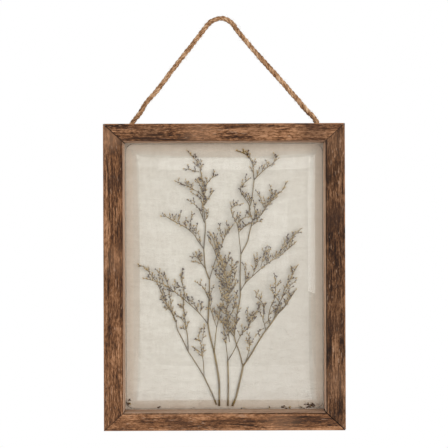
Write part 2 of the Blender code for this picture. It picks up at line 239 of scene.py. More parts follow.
def coloured(tree, value, *stops):
    """A colour ramp through (place, colour) stops."""
    ramp = add_node(tree, "ShaderNodeValToRGB", {0: value})
    elements = ramp.color_ramp.elements
    while len(elements) < len(stops):
        elements.new(0.5)
    for element, (place, colour) in zip(elements, stops):
        element.position = place
        element.color = (*colour, 1)
    return ramp.outputs[0]


def stretched(tree, vector, scale, move=(0, 0, 0), turn=(0, 0, 0)):
    inputs = {"Vector": vector, "Location": move, "Rotation": turn, "Scale": scale}
    return add_node(tree, "ShaderNodeMapping", inputs).outputs[0]


def clouds(tree, vector, scale=1.0, detail=3.0, roughness=0.55):
    inputs = {"Vector": vector, "Scale": scale, "Detail": detail, "Roughness": roughness}
    return add_node(tree, "ShaderNodeTexNoise", inputs).outputs[0]


def new_group(name, inputs, outputs):
    """An empty node group: its tree, its input node and its output node."""
    tree = bpy.data.node_groups.new(name, "ShaderNodeTree")
    for socket, kind in inputs.items():
        tree.interface.new_socket(socket, in_out="INPUT", socket_type=kind)
    for socket, kind in outputs.items():
        tree.interface.new_socket(socket, in_out="OUTPUT", socket_type=kind)
    return tree, tree.nodes.new("NodeGroupInput"), tree.nodes.new("NodeGroupOutput")


def place_group(tree, group, inputs):
    return add_node(tree, "ShaderNodeGroup", inputs, node_tree=group).outputs


def new_material(name, roughness=0.8, specular=0.5):
    """A material's tree, its shader, and the Object coordinates."""
    material = bpy.data.materials.new(name)
    material.use_nodes = True
    tree = material.node_tree
    shader = tree.nodes["Principled BSDF"]
    shader.inputs["Roughness"].default_value = roughness
    shader.inputs["Specular IOR Level"].default_value = specular
    place = tree.nodes.new("ShaderNodeTexCoord").outputs["Object"]
    return material, tree, shader, place


def paint(tree, shader, colour):
    tree.links.new(colour, shader.inputs["Base Color"])


def mixed_shaders(tree, factor, first, second):
    """The first shader, and the second where the factor is one."""
    return add_node(tree, "ShaderNodeMixShader", {0: factor, 1: first, 2: second}).outputs[0]


def own_value(tree, name, output="Fac"):
    """A value stored on the piece's own vertices."""
    return add_node(tree, "ShaderNodeAttribute", attribute_name=name).outputs[output]


def raise_surface(tree, shader, height, strength, distance):
    inputs = {"Height": height, "Strength": strength, "Distance": distance}
    bump = add_node(tree, "ShaderNodeBump", inputs)
    tree.links.new(bump.outputs[0], shader.inputs["Normal"])


# %% [markdown]
# ## Two shared patterns
# *Fibre streaks* are long thin light and dark lines with a soft drift behind them. Jute, stems, paper and
# wood all show them, only at other lengths and widths. *Mottle* is a cloudy change of tone with small
# spots in it, such as age leaves on paper, petals and board.

# %% Fibre streaks
streaks_group, group_in, group_out = new_group(
    "fibre streaks",
    {"Vector": "NodeSocketVector", "Drift": "NodeSocketFloat"},
    {"Tone": "NodeSocketFloat", "Height": "NodeSocketFloat"})
drift = clouds(streaks_group, group_in.outputs["Vector"], 0.35, 2.0)
thick_fibres = clouds(streaks_group, group_in.outputs["Vector"], 1.0, 4.0, 0.6)
thin_fibres = clouds(streaks_group, group_in.outputs["Vector"], 3.1, 3.0, 0.6)
fibres = weighed(streaks_group, (thick_fibres, 0.55), (thin_fibres, 0.45))
kept = maths(streaks_group, "SUBTRACT", 1.0, group_in.outputs["Drift"])
tone = weighed(streaks_group, (drift, group_in.outputs["Drift"]), (fibres, kept))
streaks_group.links.new(tone, group_out.inputs["Tone"])
streaks_group.links.new(fibres, group_out.inputs["Height"])


def streaked(tree, vector, scale, drift, move=(0, 0, 0)):
    """The streaks of a material: its vector, the fibres per metre along each axis, and the drift's share."""
    inputs = {"Vector": stretched(tree, vector, scale, move), "Drift": drift}
    return place_group(tree, streaks_group, inputs)


# %% Mottle
mottle_group, group_in, group_out = new_group(
    "mottle",
    {"Vector": "NodeSocketVector", "Size": "NodeSocketFloat", "Spots": "NodeSocketFloat"},
    {"Tone": "NodeSocketFloat", "Spots": "NodeSocketFloat"})
mottle_scale = maths(mottle_group, "DIVIDE", 1.0, group_in.outputs["Size"])
soft_clouds = clouds(mottle_group, group_in.outputs["Vector"], mottle_scale, 5.0, 0.6)
spot_scale = product(mottle_group, mottle_scale, 5.0)
spot_clouds = clouds(mottle_group, group_in.outputs["Vector"], spot_scale, 2.0)
spot_mask = faded(mottle_group, spot_clouds, 0.62, 0.72)
mottle_group.links.new(soft_clouds, group_out.inputs["Tone"])
spots = product(mottle_group, spot_mask, group_in.outputs["Spots"])
mottle_group.links.new(spots, group_out.inputs["Spots"])
PER_MM = (1000, 1000, 1000)


def mottled(tree, place, size, spots):
    """The mottle of a material: the clouds' size in millimetres and the strength of the spots."""
    inputs = {"Vector": stretched(tree, place, PER_MM), "Size": size, "Spots": spots}
    return place_group(tree, mottle_group, inputs)


print("groups:", [group.name for group in bpy.data.node_groups])

# %% [markdown]
# ## The jute rope
# The rope is three strands laid round each other, each spun from a few hairy yarns. It runs from one hole
# in the top rail, over the nail and into the other hole. It hangs from the nail under the frame's weight,
# so its two legs are nearly straight. A round tube with a picture of a twist would look flat at the
# outline, so each strand is a real lobed tube that winds along the line.

# %% The rope's line
FRAME_TOP = -135.8 * MM
HOLE_X = 121.5 * MM
ROPE_DIAMETER = 6.5 * MM
KNOT_CENTRE_Z = -157.9 * MM
KNOT_TOP_Z = KNOT_CENTRE_Z + 6.3 * MM
ROPE_ROUTE = [
    (-121.5, -16), (-121.5, -6), (-119.5, 2), (-114.5, 9), (-108, 17), (-98.7, 32), (-86, 46),
    (-63.6, 75.5), (-39.2, 106.4), (-27, 122), (-17.5, 133.5), (-4, 139), (8.7, 134.5), (17.5, 123.5),
    (27.8, 110.8), (46.9, 88.5), (64, 69.3), (93.7, 35.3), (106.4, 20.4), (115.5, 11), (119.8, 3),
    (121.5, -6), (121.5, -16),
]
rope_points = [Vector((x * MM, 0, FRAME_TOP + z * MM)) for x, z in ROPE_ROUTE]
rope_points[0].z = KNOT_TOP_Z
rope_points[-1].z = KNOT_TOP_Z
rope_line = even_line(smooth_route(rope_points, 24), 1.1 * MM)
rope_walked = walked_lengths(rope_line)
rope_length = float(rope_walked[-1])
print("rope length, mm:", round(rope_length / MM, 1))

# %% The rope's strands
STRANDS = 3
STRAND_SIDES = 20
STRAND_RADIUS = 1.64 * MM
STRAND_REACH = 1.58 * MM
LAY_LENGTH = 18 * MM
YARN_LAY_LENGTH = 13 * MM
YARNS = 5


def unevenness(walked, seed, length):
    """A slow change between -1 and 1 along a line."""
    return np.array([noise.noise(Vector((w / length, seed, 0.5))) for w in walked]) * 1.6


def add_strand(bm, line, turn, radius, reach, looseness):
    """One strand that winds round the line, with the lobes of its yarns. looseness swells the rope."""
    walked = walked_lengths(line)
    forward = directions(line)
    out = np.tile((0.0, 1.0, 0.0), (len(line), 1))
    side = unit(np.cross(forward, out))
    wander = unevenness(walked, turn * 3.7, 23 * MM)
    phase = turn + walked / LAY_LENGTH * 2 * math.pi + wander * 0.25
    spoke = np.cos(phase)[:, None] * out + np.sin(phase)[:, None] * side
    swell = 1 + looseness + 0.1 * unevenness(walked, turn * 9.1 + 4, 11 * MM)
    middle = line + spoke * (reach * swell)[:, None]
    angles = np.arange(STRAND_SIDES) * 2 * math.pi / STRAND_SIDES
    yarn_phase = angles[None] + (walked / YARN_LAY_LENGTH * 2 * math.pi)[:, None]
    lobes = 0.86 + 0.2 * np.abs(np.sin(yarn_phase * YARNS / 2))
    rough = np.array([[noise.noise(Vector((math.cos(a) * 2, math.sin(a) * 2, w / (3 * MM) + turn)))
                       for a in angles] for w in walked])
    surface = round_surface(middle, radius * swell[:, None] * (lobes + 0.05 * rough), STRAND_SIDES, spoke)
    along = np.repeat((walked / (10 * MM) + turn * 7)[:, None], STRAND_SIDES, axis=1)
    lay = np.stack([np.cos(yarn_phase), np.sin(yarn_phase), along], axis=2)
    add_wrapped(bm, surface, lay=lay)


RIGHT_LEG_SWELL = 0.09
right_leg = np.clip((rope_walked / rope_length - 0.5) * 4, 0, 1)
rope_bm = bmesh.new()
for strand in range(STRANDS):
    turn = strand * 2 * math.pi / STRANDS
    add_strand(rope_bm, rope_line, turn, STRAND_RADIUS, STRAND_REACH, RIGHT_LEG_SWELL * right_leg)
print("rope faces:", len(rope_bm.faces))

# %% [markdown]
# ## Jute
# Jute is a tan bast fibre with pale and brown hairs side by side. The colour follows the yarns, because it
# reads the lay that is stored on the strands: long along a yarn and narrow across it.

# %% The jute material
def jute_material(name):
    material, tree, shader, place = new_material(name, 0.85, 0.2)
    lay = own_value(tree, "lay", "Vector")
    fibres = streaked(tree, lay, (2.6, 2.6, 0.9), 0.35)
    patches = mottled(tree, place, 9.0, 0.5)
    tone = weighed(tree, (fibres["Tone"], 0.75), (patches["Tone"], 0.35))
    colour = coloured(
        tree, faded(tree, tone, 0.42, 0.68),
        (0.0, (0.105, 0.044, 0.016)), (0.35, (0.31, 0.155, 0.07)), (0.65, (0.53, 0.31, 0.165)),
        (1.0, (0.80, 0.58, 0.38)))
    paint(tree, shader, colour)
    raise_surface(tree, shader, fibres["Height"], 0.9, 0.5 * MM)
    return material


jute = jute_material("twisted jute")
rope = finish_piece("jute_rope", rope_bm, [jute], ["hanging_rope"], 60)

# %% [markdown]
# ## Stamping many small things
# Hairs, florets and crumbs are one small shape each, repeated hundreds of times. The shape is made once
# with mesh operators. Its copies are then moved, turned and sized as arrays and joined in one mesh, which
# is much quicker than hundreds of objects.

# %% Helpers that stamp a shape
def shape_arrays(bm, *names):
    """A finished bmesh as arrays: its points, faces, each face's material and its stored values."""
    bm.verts.index_update()
    values = {}
    for name in names:
        layer = bm.verts.layers.float.get(name)
        values[name] = np.array([vert[layer] if layer else 0.0 for vert in bm.verts])
    points = np.array([tuple(vert.co) for vert in bm.verts])
    faces = [[vert.index for vert in face.verts] for face in bm.faces]
    kinds = [face.material_index for face in bm.faces]
    bm.free()
    return points, faces, kinds, values


def joined_mesh(name, parts):
    """One mesh from a list of (points, faces, kinds, values)."""
    points = np.concatenate([part[0] for part in parts])
    faces = []
    kinds = []
    start = 0
    for part in parts:
        faces += [[start + index for index in face] for face in part[1]]
        kinds += part[2]
        start += len(part[0])
    mesh = bpy.data.meshes.new(name)
    mesh.from_pydata(points.tolist(), [], faces)
    mesh.polygons.foreach_set("material_index", kinds)
    for key in parts[0][3]:
        stored = mesh.attributes.new(key, "FLOAT", "POINT")
        stored.data.foreach_set("value", np.concatenate([part[3][key] for part in parts]))
    mesh.validate()
    return mesh


def stamped(shape, matrices, tones):
    """Copies of a shape at the given matrices, each with its own tone."""
    points, faces, kinds, values = shape
    copies = []
    for matrix, tone in zip(matrices, tones):
        turn = np.array(matrix.to_3x3())
        place = np.array(matrix.translation)
        own = {**values, "tone": np.full(len(points), tone)}
        copies.append((points @ turn.T + place, faces, kinds, own))
    return copies


# %% [markdown]
# ## Hairs on the rope and frayed knots
# Short hairs stand off the yarns all along the rope, more on the looser right leg. Each hair is a thin bent
# cone. Behind the top rail each end of the rope is tied in an overhand knot with a frayed tail, which
# stops it from pulling through its hole. The knot follows a trefoil line, which is what an overhand knot is.

# %% The hair shape
def hair_shape():
    """A bent three-sided cone, one unit long along X, with its root at the origin."""
    bm = bmesh.new()
    stand = Matrix.Translation((0.5, 0, 0)) @ Matrix.Rotation(math.radians(90), 4, "Y")
    bmesh.ops.create_cone(bm, cap_ends=True, segments=3, radius1=0.012, radius2=0.004, depth=1, matrix=stand)
    long_edges = [edge for edge in bm.edges if abs(edge.verts[0].co.x - edge.verts[1].co.x) > 0.5]
    bmesh.ops.subdivide_edges(bm, edges=long_edges, cuts=3)
    for vert in bm.verts:
        vert.co.z += 0.22 * vert.co.x ** 2
    bmesh.ops.recalc_face_normals(bm, faces=bm.faces)
    return shape_arrays(bm, "tone")


def aimed(place, direction, roll, length, thickness=1.0):
    """A matrix that puts a shape made along X at a place, aimed along a direction."""
    turn = Vector(direction).to_track_quat("X", "Z").to_matrix().to_4x4()
    size = Matrix.Diagonal((length, length * thickness, length * thickness, 1))
    return Matrix.Translation(place) @ turn @ Matrix.Rotation(roll, 4, "X") @ size


HAIR = hair_shape()
HAIRS = 950
random.seed(11)
hair_places = []
for _ in range(HAIRS):
    at = random.random() ** 0.85
    index = min(len(rope_line) - 2, int(at * len(rope_line)))
    forward = Vector(rope_line[index + 1] - rope_line[index]).normalized()
    angle = random.uniform(0, 2 * math.pi)
    spoke = Vector((0, 1, 0)) * math.cos(angle) + forward.cross(Vector((0, 1, 0))) * math.sin(angle)
    lean = random.uniform(0.15, 0.8)
    way = forward * random.choice((-1, 1)) + spoke * lean + Vector((0, random.uniform(-0.3, 0.3), 0))
    root = Vector(rope_line[index]) + spoke * (ROPE_DIAMETER * 0.43)
    if root.z > FRAME_TOP + 3 * MM:
        hair_places.append(aimed(root, way, random.uniform(0, 6.28), random.uniform(2.5, 7.5) * MM, 1.0))
hair_tones = [random.random() for _ in hair_places]
print("hairs:", len(hair_places))

# %% The hair material and the rope's hairs
hair_material, tree, shader, place = new_material("jute hairs", 0.7, 0.3)
hair_colour = coloured(tree, own_value(tree, "tone"), (0.0, (0.36, 0.22, 0.12)),
                       (0.6, (0.62, 0.44, 0.29)), (1.0, (0.8, 0.66, 0.5)))
hair_mottle = mottled(tree, place, 3.0, 0.2)
hair_colour = mixed(tree, hair_mottle["Tone"], (0.45, 0.28, 0.16), hair_colour)
paint(tree, shader, hair_colour)
rope_hairs = finish_piece(
    "rope_hairs", joined_mesh("rope_hairs", stamped(HAIR, hair_places, hair_tones)), [hair_material])

# %% The knots
KNOT_TUBE = 2.4 * MM
KNOT_ACROSS = 1.38 * MM
KNOT_DEEP = 2.5 * MM
KNOT_SIDES = 24
TAIL_HAIRS = 130
for name, x, seed in (("knot_left", -HOLE_X, 3), ("knot_right", HOLE_X, 8)):
    turns = np.linspace(0, 2 * math.pi, 97)
    ring = 2 + np.cos(3 * turns)
    trefoil = np.stack([
        x + KNOT_ACROSS * ring * np.cos(2 * turns) * 0.98,
        KNOT_DEEP * np.sin(3 * turns) * 0.98,
        KNOT_CENTRE_Z + KNOT_ACROSS * ring * np.sin(2 * turns) * 0.9], axis=1)
    around = np.arange(KNOT_SIDES) * 2 * math.pi / KNOT_SIDES
    twist = around[None] + (walked_lengths(trefoil) / LAY_LENGTH * 2 * math.pi * 1.6)[:, None]
    lobes = 0.86 + 0.16 * np.abs(np.sin(twist * 1.5))
    along = np.repeat((walked_lengths(trefoil) / (10 * MM) + seed)[:, None], KNOT_SIDES, axis=1)
    knot_bm = bmesh.new()
    add_wrapped(knot_bm, round_surface(trefoil, KNOT_TUBE * lobes, KNOT_SIDES),
                lay=np.stack([np.cos(twist), np.sin(twist), along], axis=2))
    tied_name = name + "_tied"
    finish_piece(tied_name, knot_bm, [jute], [name], 60)
    random.seed(seed)
    tail_places = []
    for _ in range(TAIL_HAIRS):
        root = Vector((x + random.gauss(0, 1.5) * MM, random.gauss(0, 1.2) * MM, KNOT_CENTRE_Z - 3.5 * MM))
        way = Vector((random.gauss(0, 0.35), random.gauss(0, 0.2), -1))
        tail_places.append(aimed(root, way, random.uniform(0, 6.28), random.uniform(5, 11) * MM, 1.1))
    tail_tones = [random.random() for _ in tail_places]
    tail_name = name.replace("knot", "frayed_tail")
    tail_mesh = joined_mesh(tail_name, stamped(HAIR, tail_places, tail_tones))
    finish_piece(tail_name, tail_mesh, [hair_material])

# %% [markdown]
# ## The wooden rails
# Four rails of old wood with a rabbet at the back, mitred at the corners. They were stained brown and
# rubbed, so that the arrises are pale and ragged. A box with a wood colour would look new. Here the real
# section of the rail, with rounded arrises, is drawn along the rail in small steps, and each point is
# pushed a little into the wood. The mitres are cut last, with the plane turned so slightly that a joint
# may gape at the front while it is closed at the back.

# %% The sizes of the rails
FRAME_WIDTH = 300 * MM
FRAME_HEIGHT = 381 * MM
SIDE_RAIL_WIDTH = 24.5 * MM
END_RAIL_WIDTH = 22.3 * MM
FRONT_Y = -31 * MM
BACK_Y = 8 * MM
LIP_BACK_Y = -13 * MM
LIP_WIDTH = 6.5 * MM
ARRIS = 1.3 * MM
FRAME_CENTRE_Z = FRAME_TOP - FRAME_HEIGHT / 2
OPENING_HALF_WIDTH = FRAME_WIDTH / 2 - SIDE_RAIL_WIDTH
OPENING_HALF_HEIGHT = FRAME_HEIGHT / 2 - END_RAIL_WIDTH
print("opening, mm:", OPENING_HALF_WIDTH * 2 / MM, OPENING_HALF_HEIGHT * 2 / MM)


# %% The rail's section
def rail_section(inner, outer):
    """The section as (height, y, wear, across).

    across is below 0 on the inner face, 0 to 1 on the front and above 1 outside.
    """
    step = inner + LIP_WIDTH
    back_width = step - outer + 1.2 * ARRIS
    rabbet_depth = LIP_BACK_Y - BACK_Y + 0.4 * ARRIS
    outside_depth = BACK_Y - FRONT_Y - 1.8 * ARRIS
    lip_depth = FRONT_Y + ARRIS - LIP_BACK_Y
    section = []
    for share in np.linspace(0, 1, 15):
        section.append((inner + ARRIS + (outer - inner - 2 * ARRIS) * share, FRONT_Y, 0.35, share))
    section += [
        (outer - ARRIS * 0.62, FRONT_Y + ARRIS * 0.08, 1.0, 1.03),
        (outer - ARRIS * 0.29, FRONT_Y + ARRIS * 0.29, 1.0, 1.06),
        (outer - ARRIS * 0.08, FRONT_Y + ARRIS * 0.62, 1.0, 1.09)]
    for share in np.linspace(0, 1, 14):
        section.append((outer, FRONT_Y + ARRIS + outside_depth * share, 0.4, 1.12 + share / 2))
    for share in np.linspace(0, 1, 7):
        section.append((outer - ARRIS * 0.8 + back_width * share, BACK_Y, 0.3, 1.8 + share / 5))
    for share in np.linspace(0, 1, 6):
        section.append((step, BACK_Y - 0.4 * ARRIS + rabbet_depth * share, 0, 2.2 + share / 5))
    section.append((inner, LIP_BACK_Y, 0, -1.0))
    for share in np.linspace(0.12, 1, 9):
        section.append((inner, LIP_BACK_Y + lip_depth * share, 0.25, -1 + 0.9 * share))
    section += [
        (inner + ARRIS * 0.08, FRONT_Y + ARRIS * 0.62, 1.0, -0.07),
        (inner + ARRIS * 0.29, FRONT_Y + ARRIS * 0.29, 1.0, -0.04),
        (inner + ARRIS * 0.62, FRONT_Y + ARRIS * 0.08, 1.0, -0.02)]
    return section


# %% Draw, wear and mitre one rail
WEAR = 0.36 * MM
RAIL_STEP = 2.4 * MM


def rail_mesh(name, length, width, inner, end_reach, turn, seed, gaps):
    """A rail made along X above the frame's centre and turned to its side. gaps: the mitres' front gaps."""
    section = rail_section(inner, inner + width)
    count = len(section)
    stops = np.linspace(-length / 2, length / 2, round(length / RAIL_STEP))
    surface = np.zeros((len(stops), count, 3))
    across = np.zeros((len(stops), count))
    outline = np.array([(height, y) for height, y, wear, share in section])
    edge = unit(np.roll(outline, -1, axis=0) - np.roll(outline, 1, axis=0))
    inward = np.stack([-edge[:, 1], edge[:, 0]], axis=1)
    for row, x in enumerate(stops):
        for column, (height, y, wear, share) in enumerate(section):
            spot = Vector((x / (21 * MM), height / (5 * MM), y / (5 * MM) + seed * 5))
            chip = max(0.0, noise.noise(spot * 2.3) - 0.25) * 1.2 * (wear > 0.9)
            depth = WEAR * wear * (0.5 + 0.5 * noise.noise(spot)) + 0.5 * MM * chip
            surface[row, column] = (x, y + inward[column, 1] * depth, height + inward[column, 0] * depth)
            across[row, column] = share
    bm = bmesh.new()
    add_wrapped(bm, surface, across=across)
    for side, gap in zip((-1, 1), gaps):
        slope = Vector((length / 2 - end_reach, 0, width)).normalized()
        normal = Vector((side * slope.z, 0, -slope.x))
        corner = Vector((side * end_reach, FRONT_Y, inner)) - normal * gap / 2
        tilt = (gap / 2 - 0.02 * MM) / (BACK_Y - FRONT_Y)
        tilted = (normal - Vector((0, tilt, 0))).normalized()
        cut = bmesh.ops.bisect_plane(
            bm, geom=[*bm.verts, *bm.edges, *bm.faces], plane_co=corner, plane_no=tilted, clear_outer=True)
        edges = [item for item in cut["geom_cut"] if isinstance(item, bmesh.types.BMEdge)]
        bmesh.ops.holes_fill(bm, edges=edges, sides=0)
    matrix = Matrix.Translation((0, 0, FRAME_CENTRE_Z)) @ Matrix.Rotation(turn, 4, "Y")
    bmesh.ops.transform(bm, matrix=matrix, verts=bm.verts)
    return mesh_from(name, bm)


CLOSED_MITRE = 0.25 * MM
TOP_LEFT_GAP = 0.3 * MM
BOTTOM_RIGHT_GAP = 0.8 * MM
end_rail = (FRAME_WIDTH, END_RAIL_WIDTH, OPENING_HALF_HEIGHT, OPENING_HALF_WIDTH)
side_rail = (FRAME_HEIGHT, SIDE_RAIL_WIDTH, OPENING_HALF_WIDTH, OPENING_HALF_HEIGHT)
rail_meshes = {
    "rail_top": rail_mesh("rail_top", *end_rail, 0, 1, (TOP_LEFT_GAP, CLOSED_MITRE)),
    "rail_bottom": rail_mesh("rail_bottom", *end_rail, math.pi, 2, (BOTTOM_RIGHT_GAP, CLOSED_MITRE)),
    "rail_left": rail_mesh("rail_left", *side_rail, -math.pi / 2, 3, (CLOSED_MITRE, TOP_LEFT_GAP)),
    "rail_right": rail_mesh("rail_right", *side_rail, math.pi / 2, 4, (CLOSED_MITRE, BOTTOM_RIGHT_GAP)),
}
print({name: len(mesh.polygons) for name, mesh in rail_meshes.items()})

# %% [markdown]
# ## Drill the rope holes
# The rope passes down through two drilled holes, worn wide at their mouths. A Boolean takes them out of the
# top rail, and its result is kept as the mesh.

# %% Drill the top rail
HOLE_RADII = [(-24, 4.1), (-7, 4.1), (-3.5, 4.7), (0, 6.4), (2, 7)]


def drill(mesh, x):
    """Take a worn hole out of a mesh."""
    line = np.array([(x, 0, FRAME_TOP + z * MM) for z, radius in HOLE_RADII])
    bm = bmesh.new()
    add_wrapped(bm, round_surface(line, [radius * MM for z, radius in HOLE_RADII], 24))
    cutter = bpy.data.objects.new("drill", mesh_from("drill", bm))
    blank = bpy.data.objects.new("blank", mesh)
    for obj in (cutter, blank):
        bpy.context.scene.collection.objects.link(obj)
    boolean = blank.modifiers.new("hole", "BOOLEAN")
    boolean.operation = "DIFFERENCE"
    boolean.solver = "EXACT"
    boolean.object = cutter
    bpy.context.view_layer.update()
    drilled = bpy.data.meshes.new_from_object(blank.evaluated_get(bpy.context.evaluated_depsgraph_get()))
    bpy.data.objects.remove(blank)
    bpy.data.objects.remove(cutter)
    return drilled


for hole_x in (-HOLE_X, HOLE_X):
    rail_meshes["rail_top"] = drill(rail_meshes["rail_top"], hole_x)
rail_meshes["rail_top"].name = "rail_top_wood"
print("top rail after drilling:", len(rail_meshes["rail_top"].polygons), "faces")

# %% [markdown]
# ## Weathered wood
# The stain is dark in the pores and rubbed off the high grain. Five things make the grain: broad bands of
# tone along the board, fibre streaks, short dark pores, pale flecks where the surface has chipped, and
# checks, the fine black splits that open along the grain as wood dries. Each rail has its own dark and
# pale patches over that. Along the mitres a dark line is partly grime and partly painted shade inside the
# joints, strongest at the two corners whose joints gape.
# The value *across*, stored on the rail, tells the faces apart: raw tan wood on the inner face, a dark
# beaded line at its arris, and a pale worn line at the outer arris.

# %% Wood grain group
grain_group, group_in, group_out = new_group(
    "board grain",
    {"Vector": "NodeSocketVector"},
    {"Tone": "NodeSocketFloat", "Pores": "NodeSocketFloat", "Flecks": "NodeSocketFloat",
     "Checks": "NodeSocketFloat", "Height": "NodeSocketFloat"})
board_vector = group_in.outputs["Vector"]


def grain_clouds(scale, move=(0, 0, 0), detail=2.0, roughness=0.55):
    """Clouds drawn out along the board."""
    return clouds(grain_group, stretched(grain_group, board_vector, scale, move), 1.0, detail, roughness)


bands = grain_clouds((9, 110, 110), detail=3.0, roughness=0.5)
blotches = grain_clouds((38, 75, 75), (7, 3, 5), 4.0, 0.6)
lines = grain_clouds((30, 620, 620), detail=5.0, roughness=0.7)
short_lines = grain_clouds((170, 820, 820), (2, 9, 4), 4.0, 0.8)
lined = weighed(grain_group, (lines, 0.27), (short_lines, 0.36))
grain_tone = weighed(grain_group, (bands, 0.23), (blotches, 0.14), (lined, 1.0))
grain_group.links.new(grain_tone, group_out.inputs["Tone"])
grain_group.links.new(faded(grain_group, short_lines, 0.42, 0.30), group_out.inputs["Pores"])
fleck_clouds = grain_clouds((90, 420, 420), (5, 1, 8))
grain_group.links.new(faded(grain_group, fleck_clouds, 0.63, 0.70), group_out.inputs["Flecks"])
split_field = grain_clouds((7, 190, 190), (4, 4, 4), 3.0, 0.5)
from_split = maths(grain_group, "ABSOLUTE", maths(grain_group, "SUBTRACT", split_field, 0.5))
split_places = grain_clouds((16, 60, 60), (8, 2, 6))
split_line = faded(grain_group, from_split, 0.016, 0.006)
checks = product(grain_group, split_line, faded(grain_group, split_places, 0.48, 0.56))
grain_group.links.new(checks, group_out.inputs["Checks"])
grain_height = weighed(grain_group, (lined, 1.0), (checks, -0.4), (bands, 0.2))
grain_group.links.new(grain_height, group_out.inputs["Height"])


# %% Weathered wood material
STAINED_WOOD = [(0.0, (0.018, 0.007, 0.0035)), (0.25, (0.092, 0.037, 0.0155)),
                (0.6, (0.25, 0.108, 0.044)), (1.0, (0.60, 0.315, 0.165))]
RAW_WOOD = [(0.0, (0.36, 0.20, 0.115)), (0.5, (0.55, 0.36, 0.245)), (1.0, (0.70, 0.51, 0.38))]


def scaled(stops, factor):
    """Colour stops made lighter or darker."""
    return [(place, tuple(part * factor for part in colour)) for place, colour in stops]


def weathered_wood(name, upright, light, bare, seed, line, spread, stains):
    """Stained wood with its grain along X, or Z if upright.

    light scales its stained tones and bare those of its inner face, line is how dark its inner arris is,
    and a small spread makes strong contrast. stains lists the centre, in millimetres across and up from
    the frame's centre, the reach and the strength of patches: dark ones, or pale ones below zero.
    """
    material, tree, shader, place = new_material(name, 0.75, 0.22)
    turn = (0, math.radians(90), 0) if upright else (0, 0, 0)
    board = stretched(tree, place, (1, 1, 1), (seed * 0.37, seed * 0.11, seed * 0.05), turn)
    grain = place_group(tree, grain_group, {"Vector": board})
    across = own_value(tree, "across")
    tone = faded(tree, grain["Tone"], 0.5 - spread, 0.5 + spread)
    stained = coloured(tree, tone, *scaled(STAINED_WOOD, light))
    pored = mixed(tree, product(tree, grain["Pores"], 0.7), stained, (0.035, 0.016, 0.009))
    flecked = mixed(tree, product(tree, grain["Flecks"], 0.45), pored, (0.46, 0.29, 0.19))
    flecked = mixed(tree, product(tree, grain["Checks"], 0.9), flecked, (0.02, 0.009, 0.005))
    for stain_x, stain_z, reach, strength in stains:
        stain_centre = (stain_x * MM, FRONT_Y, FRAME_CENTRE_Z + stain_z * MM)
        away = add_node(tree, "ShaderNodeVectorMath", {0: place, 1: stain_centre}, operation="DISTANCE")
        uneven = weighed(tree, (away.outputs["Value"], 1 / (reach * MM)), (grain["Tone"], 1.6))
        patch = product(tree, faded(tree, uneven, 1.9, 0.9), abs(strength))
        flecked = mixed(tree, patch, flecked, (0.045, 0.02, 0.011) if strength > 0 else (0.36, 0.20, 0.115))
    raw = coloured(tree, tone, *scaled(RAW_WOOD, bare))
    beads = clouds(tree, stretched(tree, board, (260, 60, 60)), 1.0, 2.0)
    rubs = clouds(tree, stretched(tree, board, (60, 20, 20), (3, 3, 3)), 1.0, 3.0, 0.6)
    outside = faded(tree, across, 1.16, 1.30)
    duller = mixed(tree, product(tree, outside, 0.25), flecked, (0.12, 0.06, 0.033))
    at_arris = product(tree, faded(tree, across, 0.965, 1.03), faded(tree, across, 1.16, 1.08))
    worn_mask = product(tree, at_arris, faded(tree, rubs, 0.36, 0.58))
    worn = mixed(tree, product(tree, worn_mask, 0.75), duller, (0.42, 0.20, 0.09))
    on_inner = faded(tree, across, -0.035, -0.11)
    inner = mixed(tree, on_inner, worn, raw)
    on_line = product(tree, faded(tree, across, -0.10, -0.03), faded(tree, across, 0.045, 0.0))
    line_mask = product(tree, on_line, faded(tree, beads, 0.33, 0.55, 0.35, 1.0))
    lined = mixed(tree, product(tree, line_mask, line), inner, (0.03, 0.014, 0.008))
    # Partly grime, partly painted shade inside the joints: a dark line along the mitres, stronger at the
    # top-left and bottom-right corners, whose joints gape.
    spot = add_node(tree, "ShaderNodeSeparateXYZ", {"Vector": place})
    spot_up = maths(tree, "SUBTRACT", spot.outputs["Z"], FRAME_CENTRE_Z)
    wide = maths(tree, "SUBTRACT", maths(tree, "ABSOLUTE", spot.outputs["X"]), FRAME_WIDTH / 2)
    wide = product(tree, wide, END_RAIL_WIDTH / SIDE_RAIL_WIDTH)
    tall = maths(tree, "SUBTRACT", maths(tree, "ABSOLUTE", spot_up), FRAME_HEIGHT / 2)
    from_mitre = maths(tree, "ABSOLUTE", maths(tree, "SUBTRACT", wide, tall))
    corner_side = product(tree, spot.outputs["X"], spot_up)
    near_mitre = faded(tree, from_mitre, 1.3 * MM, 0.5 * MM)
    mitre_grime_and_shade = product(tree, near_mitre, faded(tree, corner_side, 0.001, -0.001, 0.45, 0.85))
    mitre_grime_and_shade = product(tree, mitre_grime_and_shade, faded(tree, beads, 0.2, 0.5, 0.6, 1.0))
    lined = mixed(tree, mitre_grime_and_shade, lined, (0.025, 0.012, 0.008))
    behind = faded(tree, across, 1.66, 1.78)
    colour = mixed(tree, product(tree, behind, 0.55), lined, (0.20, 0.12, 0.07))
    paint(tree, shader, colour)
    tree.links.new(faded(tree, grain["Tone"], 0.35, 0.65, 0.62, 0.85), shader.inputs["Roughness"])
    raise_surface(tree, shader, grain["Height"], 0.55, 1.2 * MM)
    return material


